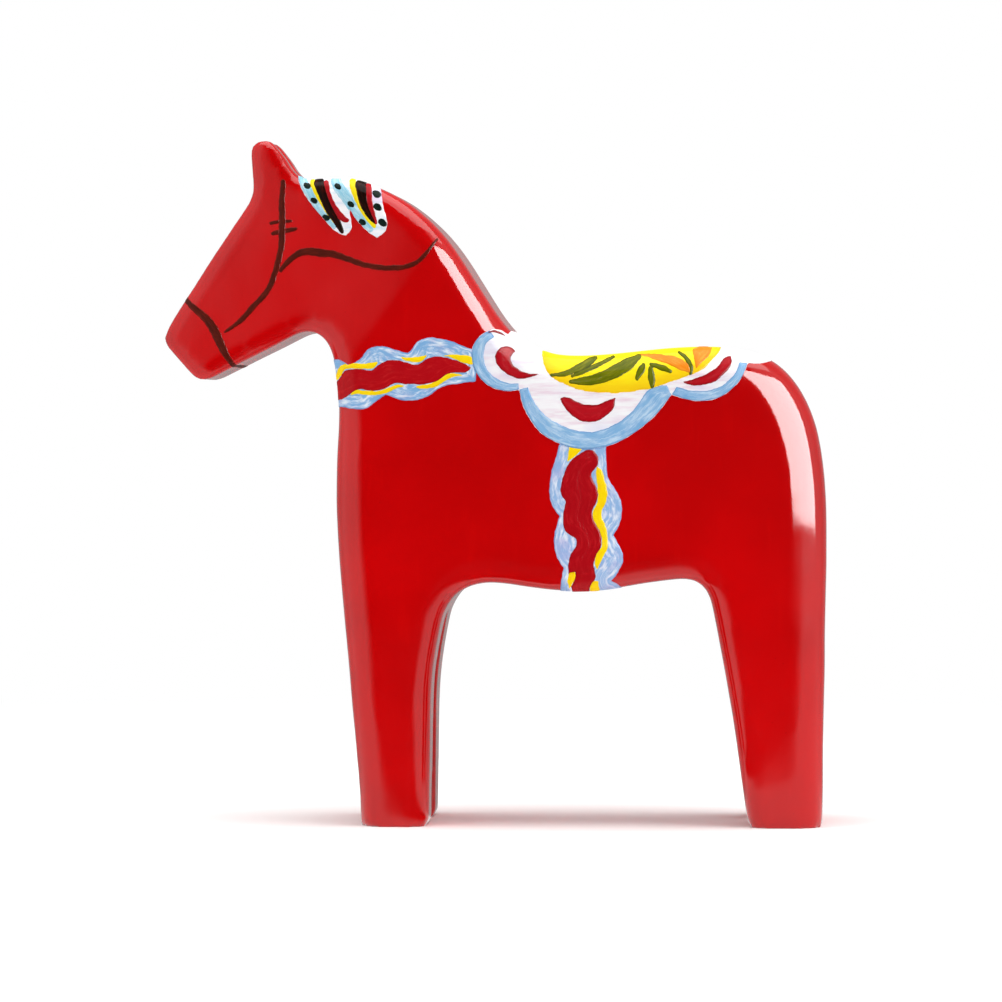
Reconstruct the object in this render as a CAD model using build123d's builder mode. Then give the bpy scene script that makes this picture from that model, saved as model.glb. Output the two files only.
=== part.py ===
from build123d import *
import os

import numpy as np

# Dala horse, 13 cm size: one carved block of pine, a dipped red ground coat over all of
# it except the bare soles, and the painted harness as separate thin passes of colour.
# Millimetres. +Z up, the horse faces -X, its left flank faces -Y. The origin is on the
# floor, under the centre of the horse's bounding box.

# ---------------------------------------------------------------- driving dimensions
HALF_WIDTH = 19.5          # half the thickness of the block at the barrel
NECK_X, NECK_Z = -0.8, 0.6  # unit direction along the neck, in which the neck and head thin
NECK_FOLD = 56.0           # distance along it where the flank starts to slope in
NECK_TAPER = 0.10
HEAD_FOLD = 74.0           # distance along it where the flank slopes in further
HEAD_TAPER = 0.13
LEG_FOLD = 38.0            # below this height the legs thin down
LEG_TAPER = 0.035
COAT = 0.3                 # red ground coat, drawn thicker than real paint
FILM = 0.2                 # each pass of colour on top of it
TOP_FILM = 3               # most films on top of one another
BELOW_FLOOR = 10.0         # the blank is shaped this far past the soles, then cut off
SLOT_FLOOR = 9.6           # gap between left and right legs at the floor
SLOT_TOP = 7.0             # the same gap where its arch starts
SLOT_SPRING = 36.0         # height where the arch starts
SLOT_REACH = 90.0          # slot and cleft are cut this far to front and back
EAR_GAP = 9.0              # width of the cleft between the two ears at their tips
EAR_TOP = 130.0            # height of the ear tips
EAR_ROOT = 120.5           # height of the bottom of the cleft
CLEFT_OVERRUN = 5.0        # the cleft cutter rises this far past the ear tips
PAINT_REACH = 40.0         # the colour passes are cut out of the skin this far each side

# how finely the carved surface is drawn
EDGE_ANGLES = (90, 67.5, 45, 22.5, 0)  # sections of the rounded edge, flank to outline
OUTLINE_SPACING = 0.25     # spacing of the dense points along the outline
RADIUS_WINDOW = 2.0        # smoothing length of the edge radius
INSET_WINDOW = 4.0         # smoothing length of the direction towards the inset line
BEND_WINDOW = 1.0          # smoothing length of the curvature that sets the stations
STATION_TURN = 0.32        # radians the outline turns between two stations
STATION_MIN, STATION_MAX = 0.6, 4.0  # limits of the distance between two stations
FOLD_CLEARANCE = 0.9       # no station is nearer than this to a fold
MAX_SPANS = 5              # most spans in one edge of the carved outline
TANGENT_STEP = 0.02        # step along the outline that gives an edge its end tangents
SOLE_TOLERANCE = 0.01      # faces wholly below this height are soles

# how finely the brush marks are drawn
STROKE_SPACING = 0.2       # spacing of the dense points along a brush mark
STROKE_STEP = 1.0          # length of the straight runs that draw a brush mark
STROKE_MIN_POINTS = 5
STROKE_MIN_HALF_WIDTH = 0.06

# ---------------------------------------------------------------- carved outline
# Side outline as two open runs of (x, z, radius of the rounded edge along it).
# UPPER_EDGE goes up the front of the forelegs, round chest, head, ears, crest, back and
# rump and down the hind legs. LOWER_EDGE goes up the front of the hind legs, along the
# belly and down the back of the forelegs.
UPPER_EDGE = [
    (-24.6, -10, 5.5), (-25.2, 2, 5.5), (-25.8, 11.5, 5.5), (-26.6, 21, 5.5), (-27.4, 31, 5.8),
    (-28.4, 42, 6), (-29.25, 52, 6), (-29.7, 62, 6), (-29.55, 70, 5.8), (-29.2, 77, 5.2),
    (-29.3, 83, 4.4), (-29.85, 87.2, 3.6), (-31.1, 91, 3), (-33.2, 93.1, 2.7), (-35.8, 93.5, 2.5),
    (-38.8, 92.3, 2.4), (-44, 89.7, 2.3), (-49.5, 86.9, 2.2), (-53, 85.1, 2.1), (-54.8, 84.4, 2),
    (-56.2, 84.45, 1.9), (-57.5, 85.4, 1.9), (-59.5, 87.6, 1.9), (-61.3, 89.65, 1.7),
    (-62.35, 90.85, 1.6), (-62.8, 91.6, 1.6), (-62.8, 92.5, 1.6), (-62.3, 94, 1.7),
    (-60.2, 97.7, 2.1), (-57, 102.7, 2.4), (-53.5, 108.1, 2.5), (-50.2, 113, 2.5),
    (-47.7, 116.7, 2.3), (-46.5, 118.5, 2), (-46, 120.2, 1.7), (-46.15, 123.5, 1.4),
    (-46.45, 127, 1.2), (-46.4, 128.6, 1.1), (-45.7, 129.5, 1.1), (-44.2, 129.95, 1.1),
    (-42.9, 129.9, 1.1), (-42.1, 129.3, 1.1), (-40.6, 127.3, 1.3), (-38.4, 124.4, 1.6),
    (-37.3, 123.05, 1.9), (-36.2, 122.45, 2.2), (-34.6, 122.35, 2.5), (-31.2, 122.55, 2.9),
    (-27.6, 122.4, 3.1), (-24.2, 121.7, 3.3), (-20.5, 120.3, 3.5), (-16.3, 118, 3.7),
    (-12, 114.6, 3.9), (-8.1, 110.4, 4), (-4.6, 105.3, 4.2), (-1.4, 100.2, 4.4), (1.4, 96, 4.6),
    (4.2, 92.8, 4.9), (7.3, 90.6, 5.2), (11, 89.2, 5.5), (16, 88.8, 5.8), (23, 89.2, 6),
    (31, 90, 6), (38, 90.45, 6), (44.5, 90.35, 6), (49.5, 89.4, 6), (53.4, 87.5, 6.2),
    (56.6, 84.5, 6.4), (59.1, 80.6, 6.6), (61, 75.6, 6.6), (62.2, 69.5, 6.6), (62.85, 62, 6.5),
    (63, 54, 6.4), (62.9, 45, 6.2), (62.75, 35, 6), (62.6, 24, 5.8), (62.4, 13, 5.6),
    (62.3, 3, 5.5), (62.1, -10, 5.5),
]
LOWER_EDGE = [
    (50, -10, 4.5), (47.95, 2.5, 4.5), (46.7, 11, 4.5), (45.4, 20, 4.6), (43.9, 29, 4.7),
    (42.5, 36.5, 4.7), (41.6, 41, 4.6), (40.7, 44, 4.5), (39.3, 45.8, 4.4), (37, 46.7, 4.3),
    (33.5, 46.6, 4.3), (28.5, 46, 4.5), (23, 45.1, 4.6), (17, 44.6, 4.6), (11.5, 44.65, 4.6),
    (5.5, 45.4, 4.6), (0, 46.05, 4.4), (-3, 45.8, 4.3), (-5.6, 44.8, 4.3), (-7.7, 43.1, 4.3),
    (-9.2, 40.4, 4.3), (-10.4, 35.6, 4.4), (-11.35, 29.5, 4.5), (-11.8, 22, 4.5), (-12, 12, 4.5),
    (-12.1, 2, 4.5), (-12.3, -10, 4.5),
]


# ---------------------------------------------------------------- smooth runs of points
def natural_slopes(stations, values):
    """Slopes of the natural cubic spline through values at the given stations."""
    count = len(stations)
    step = np.diff(stations)
    matrix = np.zeros((count, count))
    target = np.zeros((count, values.shape[1]))
    matrix[0, 0], matrix[0, 1] = 2.0, 1.0
    target[0] = 3.0 * (values[1] - values[0]) / step[0]
    matrix[-1, -1], matrix[-1, -2] = 2.0, 1.0
    target[-1] = 3.0 * (values[-1] - values[-2]) / step[-1]
    for i in range(1, count - 1):
        matrix[i, i - 1] = step[i]
        matrix[i, i] = 2.0 * (step[i - 1] + step[i])
        matrix[i, i + 1] = step[i - 1]
        target[i] = 3.0 * (
            step[i] * (values[i] - values[i - 1]) / step[i - 1]
            + step[i - 1] * (values[i + 1] - values[i]) / step[i]
        )
    return np.linalg.solve(matrix, target)


def spline_through(table, spacing):
    """Dense distances, points and unit tangents along a natural cubic spline.

    The first two columns of the table are x and z; further columns are carried along.
    """
    table = np.array(table, float)
    knots = np.concatenate([[0.0], np.cumsum(np.hypot(*np.diff(table[:, :2], axis=0).T))])
    slopes = natural_slopes(knots, table)
    distance = np.linspace(0.0, knots[-1], int(round(knots[-1] / spacing)) + 1)
    i = np.clip(np.searchsorted(knots, distance, side="right") - 1, 0, len(knots) - 2)
    span = (knots[i + 1] - knots[i])[:, None]
    u = ((distance - knots[i])[:, None]) / span
    start, end = table[i], table[i + 1]
    start_slope, end_slope = slopes[i] * span, slopes[i + 1] * span
    points = (
        (2 * u**3 - 3 * u**2 + 1) * start
        + (u**3 - 2 * u**2 + u) * start_slope
        + (-2 * u**3 + 3 * u**2) * end
        + (u**3 - u**2) * end_slope
    )
    derivative = (
        (6 * u**2 - 6 * u) * start
        + (3 * u**2 - 4 * u + 1) * start_slope
        + (-6 * u**2 + 6 * u) * end
        + (3 * u**2 - 2 * u) * end_slope
    ) / span
    tangent = derivative[:, :2] / np.linalg.norm(derivative[:, :2], axis=1, keepdims=True)
    return distance, points, tangent


def smoothed(distance, values, window):
    """Values averaged along the run with a bell-shaped weight."""
    weight = np.exp(-0.5 * ((distance[:, None] - distance[None, :]) / window) ** 2)
    weight /= weight.sum(axis=1, keepdims=True)
    return weight @ values


# ---------------------------------------------------------------- carved skin
def along_neck(x, z):
    return NECK_X * x + NECK_Z * z


def half_width(x, z):
    """Half thickness of the block at a point of the flank: flat facets that meet in folds."""
    along = along_neck(x, z)
    return (
        HALF_WIDTH
        - NECK_TAPER * max(0.0, along - NECK_FOLD)
        - HEAD_TAPER * max(0.0, along - HEAD_FOLD)
        - LEG_TAPER * max(0.0, LEG_FOLD - z)
    )


def fold_values(points):
    """Signed distance of each point from the leg, neck and head folds."""
    x, z = points.T
    along = along_neck(x, z)
    return [z - LEG_FOLD, along - NECK_FOLD, along - HEAD_FOLD]


class OutlineRun:
    """One run of the side outline with the inset line where its rounded edge ends."""

    def __init__(self, table):
        self.distance, points, tangent = spline_through(table, OUTLINE_SPACING)
        self.edge = points[:, :2]
        self.inward = np.column_stack([tangent[:, 1], -tangent[:, 0]])
        self.radius = smoothed(self.distance, points[:, 2:3], RADIUS_WINDOW)[:, 0]
        soft = smoothed(self.distance, self.inward, INSET_WINDOW)
        soft /= np.linalg.norm(soft, axis=1, keepdims=True)
        self.inset = self.edge + soft * self.radius[:, None]
        self.zones = self.split_zones()

    def at(self, stations):
        """Outline point, inward direction, inset point and radius at each station."""
        def pick(values):
            return np.column_stack(
                [np.interp(stations, self.distance, values[:, k]) for k in (0, 1)]
            )

        radius = np.interp(stations, self.distance, self.radius)
        return pick(self.edge), pick(self.inward), pick(self.inset), radius

    def fold_crossings(self):
        """Distances along the run where the inset line crosses a fold."""
        crossings = []
        for value in fold_values(self.inset):
            for i in np.nonzero(value[1:] * value[:-1] < 0)[0]:
                fraction = value[i] / (value[i] - value[i + 1])
                step = self.distance[i + 1] - self.distance[i]
                crossings.append(self.distance[i] + fraction * step)
        return sorted(crossings)

    def stations(self):
        """Distances along the run, closer together where it turns fast."""
        angle = np.unwrap(np.arctan2(self.inward[:, 1], self.inward[:, 0]))
        turning = np.abs(np.gradient(angle, self.distance))[:, None]
        bend = smoothed(self.distance, turning, BEND_WINDOW)[:, 0]
        gap = np.clip(STATION_TURN / np.maximum(bend, 1e-6), STATION_MIN, STATION_MAX)
        density = 1.0 / gap
        total = np.concatenate(
            [[0.0], np.cumsum((density[1:] + density[:-1]) / 2 * np.diff(self.distance))]
        )
        count = int(np.ceil(total[-1]))
        return np.interp(np.linspace(0.0, total[-1], count + 1), total, self.distance)

    def split_zones(self):
        """Stations of each zone, a zone being the stretch between two folds of the flank.

        Each zone is a list of chunks, and each chunk becomes one edge of a few spans, so
        no face carries too many knots.
        """
        stations = self.stations()
        ends = [self.distance[0]] + self.fold_crossings() + [self.distance[-1]]
        zones = []
        for start, end in zip(ends[:-1], ends[1:]):
            clear = (stations > start + FOLD_CLEARANCE) & (stations < end - FOLD_CLEARANCE)
            zone = np.concatenate([[start], stations[clear], [end]])
            pieces = int(np.ceil((len(zone) - 1) / MAX_SPANS))
            marks = np.linspace(0, len(zone) - 1, pieces + 1).round().astype(int)
            zones.append([zone[i : j + 1] for i, j in zip(marks[:-1], marks[1:])])
        return zones


UPPER = OutlineRun(UPPER_EDGE)
LOWER = OutlineRun(LOWER_EDGE)


def as_tuple(vector):
    return tuple(map(float, vector))


def rounded_section(run, stations, side, angle, grow):
    """Points of the rounded edge at one angle: 0 is the outline, 90 meets the flank."""
    edge, inward, inset, radius = run.at(stations)
    grown = edge - inward * grow
    cosine, sine = np.cos(np.radians(angle)), np.sin(np.radians(angle))
    xz = inset + (grown - inset) * cosine
    width = np.array([half_width(x, z) for x, z in inset])
    y = side * (width - radius + (radius + grow) * sine)
    return np.column_stack([xz[:, 0], y, xz[:, 1]])


def section_edge(run, stations, side, angle, grow):
    """One chunk of a section as a spline edge."""
    first, last = stations[0], stations[-1]
    points = rounded_section(run, stations, side, angle, grow)
    start = rounded_section(run, [first, first + TANGENT_STEP], side, angle, grow)
    end = rounded_section(run, [last - TANGENT_STEP, last], side, angle, grow)
    return Edge.make_spline(
        [as_tuple(point) for point in points],
        tangents=(as_tuple(start[1] - start[0]), as_tuple(end[1] - end[0])),
        parameters=[float(value) for value in (stations - first) / (last - first)],
    )


def section_edges(side, angle, grow):
    """The closed section as two runs of zones of edges, and the two sole lines."""
    upper, lower = [
        [[section_edge(run, chunk, side, angle, grow) for chunk in zone] for zone in run.zones]
        for run in (UPPER, LOWER)
    ]
    hind_sole = Edge.make_line(upper[-1][-1] @ 1, lower[0][0] @ 0)
    fore_sole = Edge.make_line(lower[-1][-1] @ 1, upper[0][0] @ 0)
    return upper, lower, hind_sole, fore_sole


def ring(section):
    upper, lower, hind_sole, fore_sole = section
    return Wire(sum(upper, []) + [hind_sole] + sum(lower, []) + [fore_sole])


def flank_faces(section):
    """The flat facets of one flank, cut along its folds."""
    upper, lower, hind_sole, fore_sole = section
    foreleg_front, chest, neck_front, head, crest, back, hind_leg_rear = upper
    hind_leg_front, belly, foreleg_rear = lower
    foreleg_fold = Edge.make_line(foreleg_front[-1] @ 1, foreleg_rear[0] @ 0)
    hind_leg_fold = Edge.make_line(hind_leg_front[-1] @ 1, hind_leg_rear[0] @ 0)
    neck_fold = Edge.make_line(neck_front[0] @ 0, crest[-1] @ 1)
    head_fold = Edge.make_line(head[0] @ 0, head[-1] @ 1)
    return [
        Face(Wire(foreleg_front + [foreleg_fold] + foreleg_rear + [fore_sole])),
        Face(Wire(chest + [neck_fold] + back + [hind_leg_fold] + belly + [foreleg_fold])),
        Face(Wire(neck_front + [head_fold] + crest + [neck_fold])),
        Face(Wire(head + [head_fold])),
        Face(Wire(hind_leg_rear + [hind_sole] + hind_leg_front + [hind_leg_fold])),
    ]


def turned(face, side):
    """The same flat face with its normal pointing to the given side."""
    return face if face.normal_at().Y * side > 0 else -face


def carved_skin(grow):
    """The whole carved form as one solid, grown outwards by a paint thickness."""
    left = [section_edges(-1, angle, grow) for angle in EDGE_ANGLES]
    right = [section_edges(1, angle, grow) for angle in reversed(EDGE_ANGLES)]
    left_rings = [ring(section) for section in left]
    right_rings = [ring(section) for section in right]
    # the outward-facing flanks come first, so the sewn shell takes its sense from them
    faces = [turned(face, -1) for face in flank_faces(left[0])]
    faces += [turned(face, 1) for face in flank_faces(right[-1])]
    faces += Shell.make_loft(left_rings).faces()
    faces += Shell.make_loft([left_rings[-1], right_rings[0]], ruled=True).faces()
    faces += Shell.make_loft(right_rings).faces()
    return Solid(Shell(faces))


# The loft needs sections with matching knots, which a builder block cannot state, so
# these plain solids are made here and taken into the builder blocks below.
wood_skin = carved_skin(-COAT)
# number 0 is the outside of the red coat, number n the outside of the nth film on it
film_skins = [carved_skin(film * FILM) for film in range(TOP_FILM + 1)]


# ---------------------------------------------------------------- carved blocks
def slot_outline(grow):
    """Profile of the gap between left and right legs, seen from the front."""
    foot, top = SLOT_FLOOR / 2 - grow, SLOT_TOP / 2 - grow
    slope = (foot - top) / SLOT_SPRING
    low = foot + slope * BELOW_FLOOR
    Line((-low, -BELOW_FLOOR), (-top, SLOT_SPRING))
    ThreePointArc((-top, SLOT_SPRING), (0, SLOT_SPRING + top), (top, SLOT_SPRING))
    Line((top, SLOT_SPRING), (low, -BELOW_FLOOR))
    Line((low, -BELOW_FLOOR), (-low, -BELOW_FLOOR))


def cleft_outline(grow):
    """Profile of the cleft between the ears, seen from the front."""
    slope = EAR_GAP / 2 / (EAR_TOP - EAR_ROOT)
    root = EAR_ROOT + grow * np.hypot(1.0, slope) / slope
    top = EAR_TOP + CLEFT_OVERRUN
    width = slope * (top - root)
    Polyline((0, root), (width, top), (-width, top), close=True)


def carved_block(skin, grow):
    """A skin cut off at the floor, with the leg slot and ear cleft narrowed by grow a side."""
    with BuildPart() as block:
        add(skin)
        split(bisect_by=Plane.XY, keep=Keep.TOP)
        with BuildSketch(Plane.YZ):
            with BuildLine():
                slot_outline(grow)
            make_face()
            with BuildLine():
                cleft_outline(grow)
            make_face()
        extrude(amount=SLOT_REACH, both=True, mode=Mode.SUBTRACT)
    return block.part


def is_sole(face):
    return face.bounding_box().max.Z < SOLE_TOLERANCE


def soles(block):
    """The four flat faces a block stands on, in a fixed order."""
    low = [face for face in block.faces() if is_sole(face)]
    return sorted(low, key=lambda face: (round(face.center().X), round(face.center().Y)))


def above_soles(block):
    return [face for face in block.faces() if not is_sole(face)]


def export(part, name):
    part.label = name
    export_step(part, f"parts/{name}.step")


os.makedirs("parts", exist_ok=True)

# ---------------------------------------------------------------- wood
pine_body = carved_block(wood_skin, -COAT)
export(pine_body, "pine_body")

# ---------------------------------------------------------------- red ground coat
# The coat is the outside of the dipped block, the outside of the wood inside it, and a
# thin flat ring round each foot, because the soles are rubbed bare.
red_block = carved_block(film_skins[0], 0.0)
foot_rings = [
    Face(outside.outer_wire(), [inside.outer_wire()])
    for outside, inside in zip(soles(red_block), soles(pine_body))
]
coat_faces = above_soles(red_block) + foot_rings + above_soles(pine_body)

with BuildPart() as red_ground_coat:
    add(Solid(Shell(coat_faces)))
export(red_ground_coat.part, "red_ground_coat")

# ---------------------------------------------------------------- painting
# Painted marks are of two kinds. A stroke is a table of (x, z, half width) along the
# middle of the brush mark. A patch is a closed outline of (x, z), where a point marked
# CORNER is a sharp corner between two smooth runs.
CORNER = True
INSIDE, OUTSIDE = Mode.INTERSECT, Mode.SUBTRACT


def brush_stroke(path):
    """Closed outline of a tapering brush mark, as short straight runs."""
    distance, points, tangent = spline_through(path, STROKE_SPACING)
    normal = np.column_stack([-tangent[:, 1], tangent[:, 0]])
    count = max(STROKE_MIN_POINTS, int(round(distance[-1] / STROKE_STEP)) + 1)
    pick = np.unique(np.linspace(0, len(points) - 1, count).astype(int))
    points, tangent, normal = points[pick], tangent[pick], normal[pick]
    width = np.maximum(points[:, 2:3], STROKE_MIN_HALF_WIDTH)
    left = points[:, :2] + normal * width
    right = points[:, :2] - normal * width
    head = points[0, :2] - tangent[0] * width[0]
    tail = points[-1, :2] + tangent[-1] * width[-1]
    loop = np.vstack([left, tail, right[::-1], head])
    Polyline(*[as_tuple(point) for point in loop], close=True)


def patch_outline(points):
    """Closed outline with smooth runs between its marked corners."""
    first = next(i for i, point in enumerate(points) if len(point) > 2)
    loop = points[first:] + points[:first] + [points[first]]
    corners = [i for i, point in enumerate(loop) if len(point) > 2]
    for start, end in zip(corners[:-1], corners[1:]):
        run = [point[:2] for point in loop[start : end + 1]]
        if len(run) == 2:
            Line(*run)
        else:
            Spline(*run)


def draw_mark(mark):
    """A patch has plain (x, z) points between its corners; a stroke has none."""
    if any(len(point) == 2 for point in mark):
        patch_outline(mark)
    else:
        brush_stroke(mark)


def paint(name, marks, film=1, trims=()):
    """Export one pass of colour on both flanks and return its flat shape.

    film says which film over the red coat the pass lies in. trims are (INSIDE or
    OUTSIDE, shape) pairs that limit the marks, applied in order.
    """
    with BuildPart() as colour:
        with BuildSketch(Plane.XZ) as shape:
            for mark in marks:
                with BuildLine():
                    draw_mark(mark)
                make_face()
            for mode, other in trims:
                add(other, mode=mode)
        extrude(amount=PAINT_REACH, both=True)
        add(film_skins[film], mode=Mode.INTERSECT)
        add(film_skins[film - 1], mode=Mode.SUBTRACT)
    export(colour.part, name)
    return shape.sketch_local


# ---------------------------------------------------------------- bridle
CHEEK_STRAP = [
    (-40.1, 122.0, 0.49), (-40.2, 118.2, 0.60), (-40.1, 111.9, 0.64), (-40.5, 108.3, 0.60),
    (-41.2, 105.4, 0.58), (-42.5, 101.8, 0.56), (-45.6, 98.2, 0.56), (-48.1, 95.6, 0.49),
    (-51.0, 93.5, 0.23),
]
BROW_TICKS = [
    [(-42.3, 114.2, 0.30), (-40.4, 114.4, 0.38), (-38.4, 114.5, 0.26)],
    [(-41.9, 112.2, 0.38), (-39.8, 112.6, 0.49), (-37.5, 113.0, 0.34)],
]
REIN = [
    (-40.3, 105.2, 0.45), (-38.2, 107.5, 0.60), (-36.1, 108.6, 0.71), (-33.2, 108.5, 0.79),
    (-30.1, 108.1, 0.68), (-26.4, 106.8, 0.56), (-23.1, 105.9, 0.53), (-19.5, 105.5, 0.53),
    (-15.8, 105.8, 0.49), (-13.9, 106.7, 0.45), (-12.2, 108.5, 0.38), (-10.4, 110.9, 0.19),
]
NOSEBAND = [
    (-59.8, 101.5, 0.41), (-58.0, 98.9, 0.53), (-56.1, 97.3, 0.68), (-54.3, 95.6, 0.79),
    (-52.9, 93.5, 0.86), (-51.7, 91.0, 0.79), (-50.7, 89.1, 0.68), (-49.7, 87.6, 0.56),
    (-48.1, 85.3, 0.45),
]

strap = paint("cheek_strap_stroke", [CHEEK_STRAP])
paint("brow_tick_strokes", BROW_TICKS, trims=[(OUTSIDE, strap)])
paint("rein_stroke", [REIN], trims=[(OUTSIDE, strap)])
paint("noseband_stroke", [NOSEBAND])

# ---------------------------------------------------------------- mane
# two tapering locks hanging from the crest, the front one first in each table
MANE_LOCKS = [
    [
        (-37.6, 124.6, CORNER), (-37.2, 122.3), (-36.0, 119.6), (-34.7, 117.8), (-32.7, 115.4),
        (-30.9, 113.5), (-28.9, 112.0), (-27.8, 111.6, CORNER), (-26.9, 112.9), (-27.0, 115.2),
        (-27.2, 116.9, CORNER), (-29.1, 123.8, CORNER),
    ],
    [
        (-31.6, 124.9, CORNER), (-27.2, 116.9), (-26.1, 115.0), (-24.6, 113.3), (-23.0, 111.9),
        (-21.8, 111.3, CORNER), (-20.6, 112.1), (-19.9, 113.4), (-20.1, 115.3), (-20.8, 117.4),
        (-21.1, 119.5), (-22.1, 122.2, CORNER),
    ],
]
MANE_DOTS = [
    [(-35.7, 121.3, 0.28), (-35.4, 121.1, 0.39), (-35.1, 120.9, 0.28)],
    [(-34.3, 118.5, 0.28), (-34.0, 118.3, 0.39), (-33.7, 118.1, 0.28)],
    [(-31.9, 115.3, 0.28), (-31.6, 115.1, 0.39), (-31.3, 114.9, 0.28)],
    [(-29.8, 121.1, 0.28), (-29.5, 120.9, 0.39), (-29.2, 120.7, 0.28)],
    [(-27.2, 117.8, 0.28), (-26.9, 117.6, 0.39), (-26.6, 117.4, 0.28)],
    [(-24.9, 114.4, 0.28), (-24.6, 114.2, 0.39), (-24.3, 114.0, 0.28)],
    [(-22.4, 119.7, 0.28), (-22.1, 119.4, 0.39), (-21.8, 119.2, 0.28)],
    [(-22.0, 117.2, 0.28), (-21.7, 117.0, 0.39), (-21.4, 116.8, 0.28)],
    [(-21.1, 114.3, 0.28), (-20.8, 114.1, 0.39), (-20.5, 113.9, 0.28)],
]
MANE_BROWN = [
    [
        (-33.2, 121.6, 0.86), (-32.8, 120.6, 0.75), (-32.4, 119.5, 0.70), (-31.7, 117.8, 0.64),
        (-30.7, 116.0, 0.60), (-29.8, 114.6, 0.49), (-29.1, 113.4, 0.34), (-28.5, 112.3, 0.09),
    ],
    [
        (-25.2, 121.2, 0.90), (-25.0, 120.4, 0.85), (-24.8, 119.2, 0.75), (-24.4, 117.6, 0.62),
        (-23.7, 116.1, 0.45), (-23.0, 114.9, 0.28), (-22.4, 114.1, 0.08),
    ],
]
MANE_CRIMSON = [
    [
        (-31.8, 121.6, 0.28), (-31.4, 119.7, 0.32), (-30.7, 117.8, 0.38), (-29.5, 116.0, 0.39),
        (-28.3, 114.9, 0.28), (-27.6, 114.5, 0.09),
    ],
    [
        (-23.8, 121.0, 0.30), (-23.6, 119.9, 0.30), (-23.5, 118.6, 0.32), (-23.2, 117.1, 0.32),
        (-22.8, 115.9, 0.28), (-22.4, 114.8, 0.19), (-22.1, 114.1, 0.08),
    ],
]
MANE_YELLOW = [
    [
        (-34.5, 122.0, 0.28), (-34.1, 120.8, 0.28), (-33.4, 119.3, 0.28), (-32.6, 118.0, 0.28),
        (-31.8, 116.8, 0.24), (-31.0, 115.5, 0.19), (-30.2, 114.3, 0.08),
    ],
    [
        (-26.8, 122.0, 0.41), (-26.4, 120.5, 0.38), (-25.9, 118.8, 0.28), (-25.2, 117.1, 0.26),
        (-24.2, 115.6, 0.26), (-23.2, 114.3, 0.28), (-22.3, 113.4, 0.13),
    ],
]
MANE_BLUE = [
    [
        (-36.6, 122.9, 0.38), (-36.0, 121.6, 0.49), (-35.0, 120.0, 0.55), (-33.9, 118.3, 0.55),
        (-32.9, 116.8, 0.53), (-31.6, 114.9, 0.43), (-30.3, 113.4, 0.23),
    ],
    [
        (-30.0, 122.2, 0.64), (-29.4, 121.0, 0.73), (-28.2, 119.5, 0.79), (-26.9, 117.6, 0.73),
        (-25.6, 115.9, 0.68), (-24.3, 114.2, 0.55), (-23.1, 112.8, 0.26),
    ],
]

mane = paint("mane_white_ground", MANE_LOCKS)
mane_dots = paint("mane_black_dots", MANE_DOTS, film=2, trims=[(INSIDE, mane)])
mane_brown = paint("mane_brown_strokes", MANE_BROWN, film=2, trims=[(INSIDE, mane)])
mane_crimson = paint(
    "mane_crimson_strokes", MANE_CRIMSON, film=2,
    trims=[(INSIDE, mane), (OUTSIDE, mane_brown)],
)
mane_yellow = paint(
    "mane_yellow_strokes", MANE_YELLOW, film=2,
    trims=[(INSIDE, mane), (OUTSIDE, mane_brown), (OUTSIDE, mane_dots)],
)
paint(
    "mane_blue_strokes", MANE_BLUE, film=2,
    trims=[
        (INSIDE, mane), (OUTSIDE, mane_yellow), (OUTSIDE, mane_crimson),
        (OUTSIDE, mane_brown), (OUTSIDE, mane_dots),
    ],
)

# ---------------------------------------------------------------- saddle
# Lower edges of the three lobes, shared by the white ground and the blue border on it.
# Each edge starts after the corner that ends the one before.
FRONT_LOBE = [
    (-1.2, 93.3), (-2.5, 92.2), (-3.5, 90.7), (-3.7, 88.9), (-3.3, 86.6), (-2.1, 84.7),
    (-0.7, 83.4), (1.2, 82.6), (3.2, 82.2), (5.2, 82.5, CORNER),
]
MIDDLE_LOBE = [
    (5.8, 79.8), (7.3, 77.0), (9.3, 74.4), (12.5, 72.5), (15.3, 71.6), (18.7, 71.4),
    (21.9, 72.0), (25.7, 73.7), (29.1, 76.1), (31.9, 78.9), (33.8, 81.6, CORNER),
]
REAR_LOBE = [
    (36.0, 80.9), (39.5, 80.4), (42.7, 81.1), (45.4, 82.8), (47.2, 85.3), (48.1, 87.5, CORNER),
]
SADDLE_GROUND = [
    (5.0, 96.0, CORNER), (3.0, 93.0, CORNER), (1.6, 93.7), (0.2, 93.8),
    *FRONT_LOBE, *MIDDLE_LOBE, *REAR_LOBE,
    (50.0, 87.4), (52.5, 87.9, CORNER), (53.8, 93.7, CORNER),
]
SADDLE_BLUE = [
    [
        (-0.4, 93.7, CORNER), *FRONT_LOBE,
        (5.1, 83.7, CORNER), (2.9, 83.9), (0.9, 84.7), (-0.6, 86.2), (-1.3, 87.9),
        (-1.4, 89.8), (-0.8, 91.3), (0.5, 92.4, CORNER),
    ],
    [
        FRONT_LOBE[-1], *MIDDLE_LOBE,
        (33.0, 83.4, CORNER), (29.8, 82.7), (28.2, 80.9), (26.7, 78.7), (24.5, 76.8),
        (22.0, 75.4), (18.9, 74.6), (15.7, 75.0), (12.9, 76.0), (10.4, 77.5), (8.6, 79.5),
        (7.5, 81.5), (7.0, 83.0, CORNER),
    ],
    [
        MIDDLE_LOBE[-1], *REAR_LOBE,
        (46.6, 87.6, CORNER), (45.9, 85.9), (44.4, 84.2), (42.4, 82.8), (39.5, 82.3),
        (36.7, 82.5), (34.8, 83.1, CORNER),
    ],
]
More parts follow.
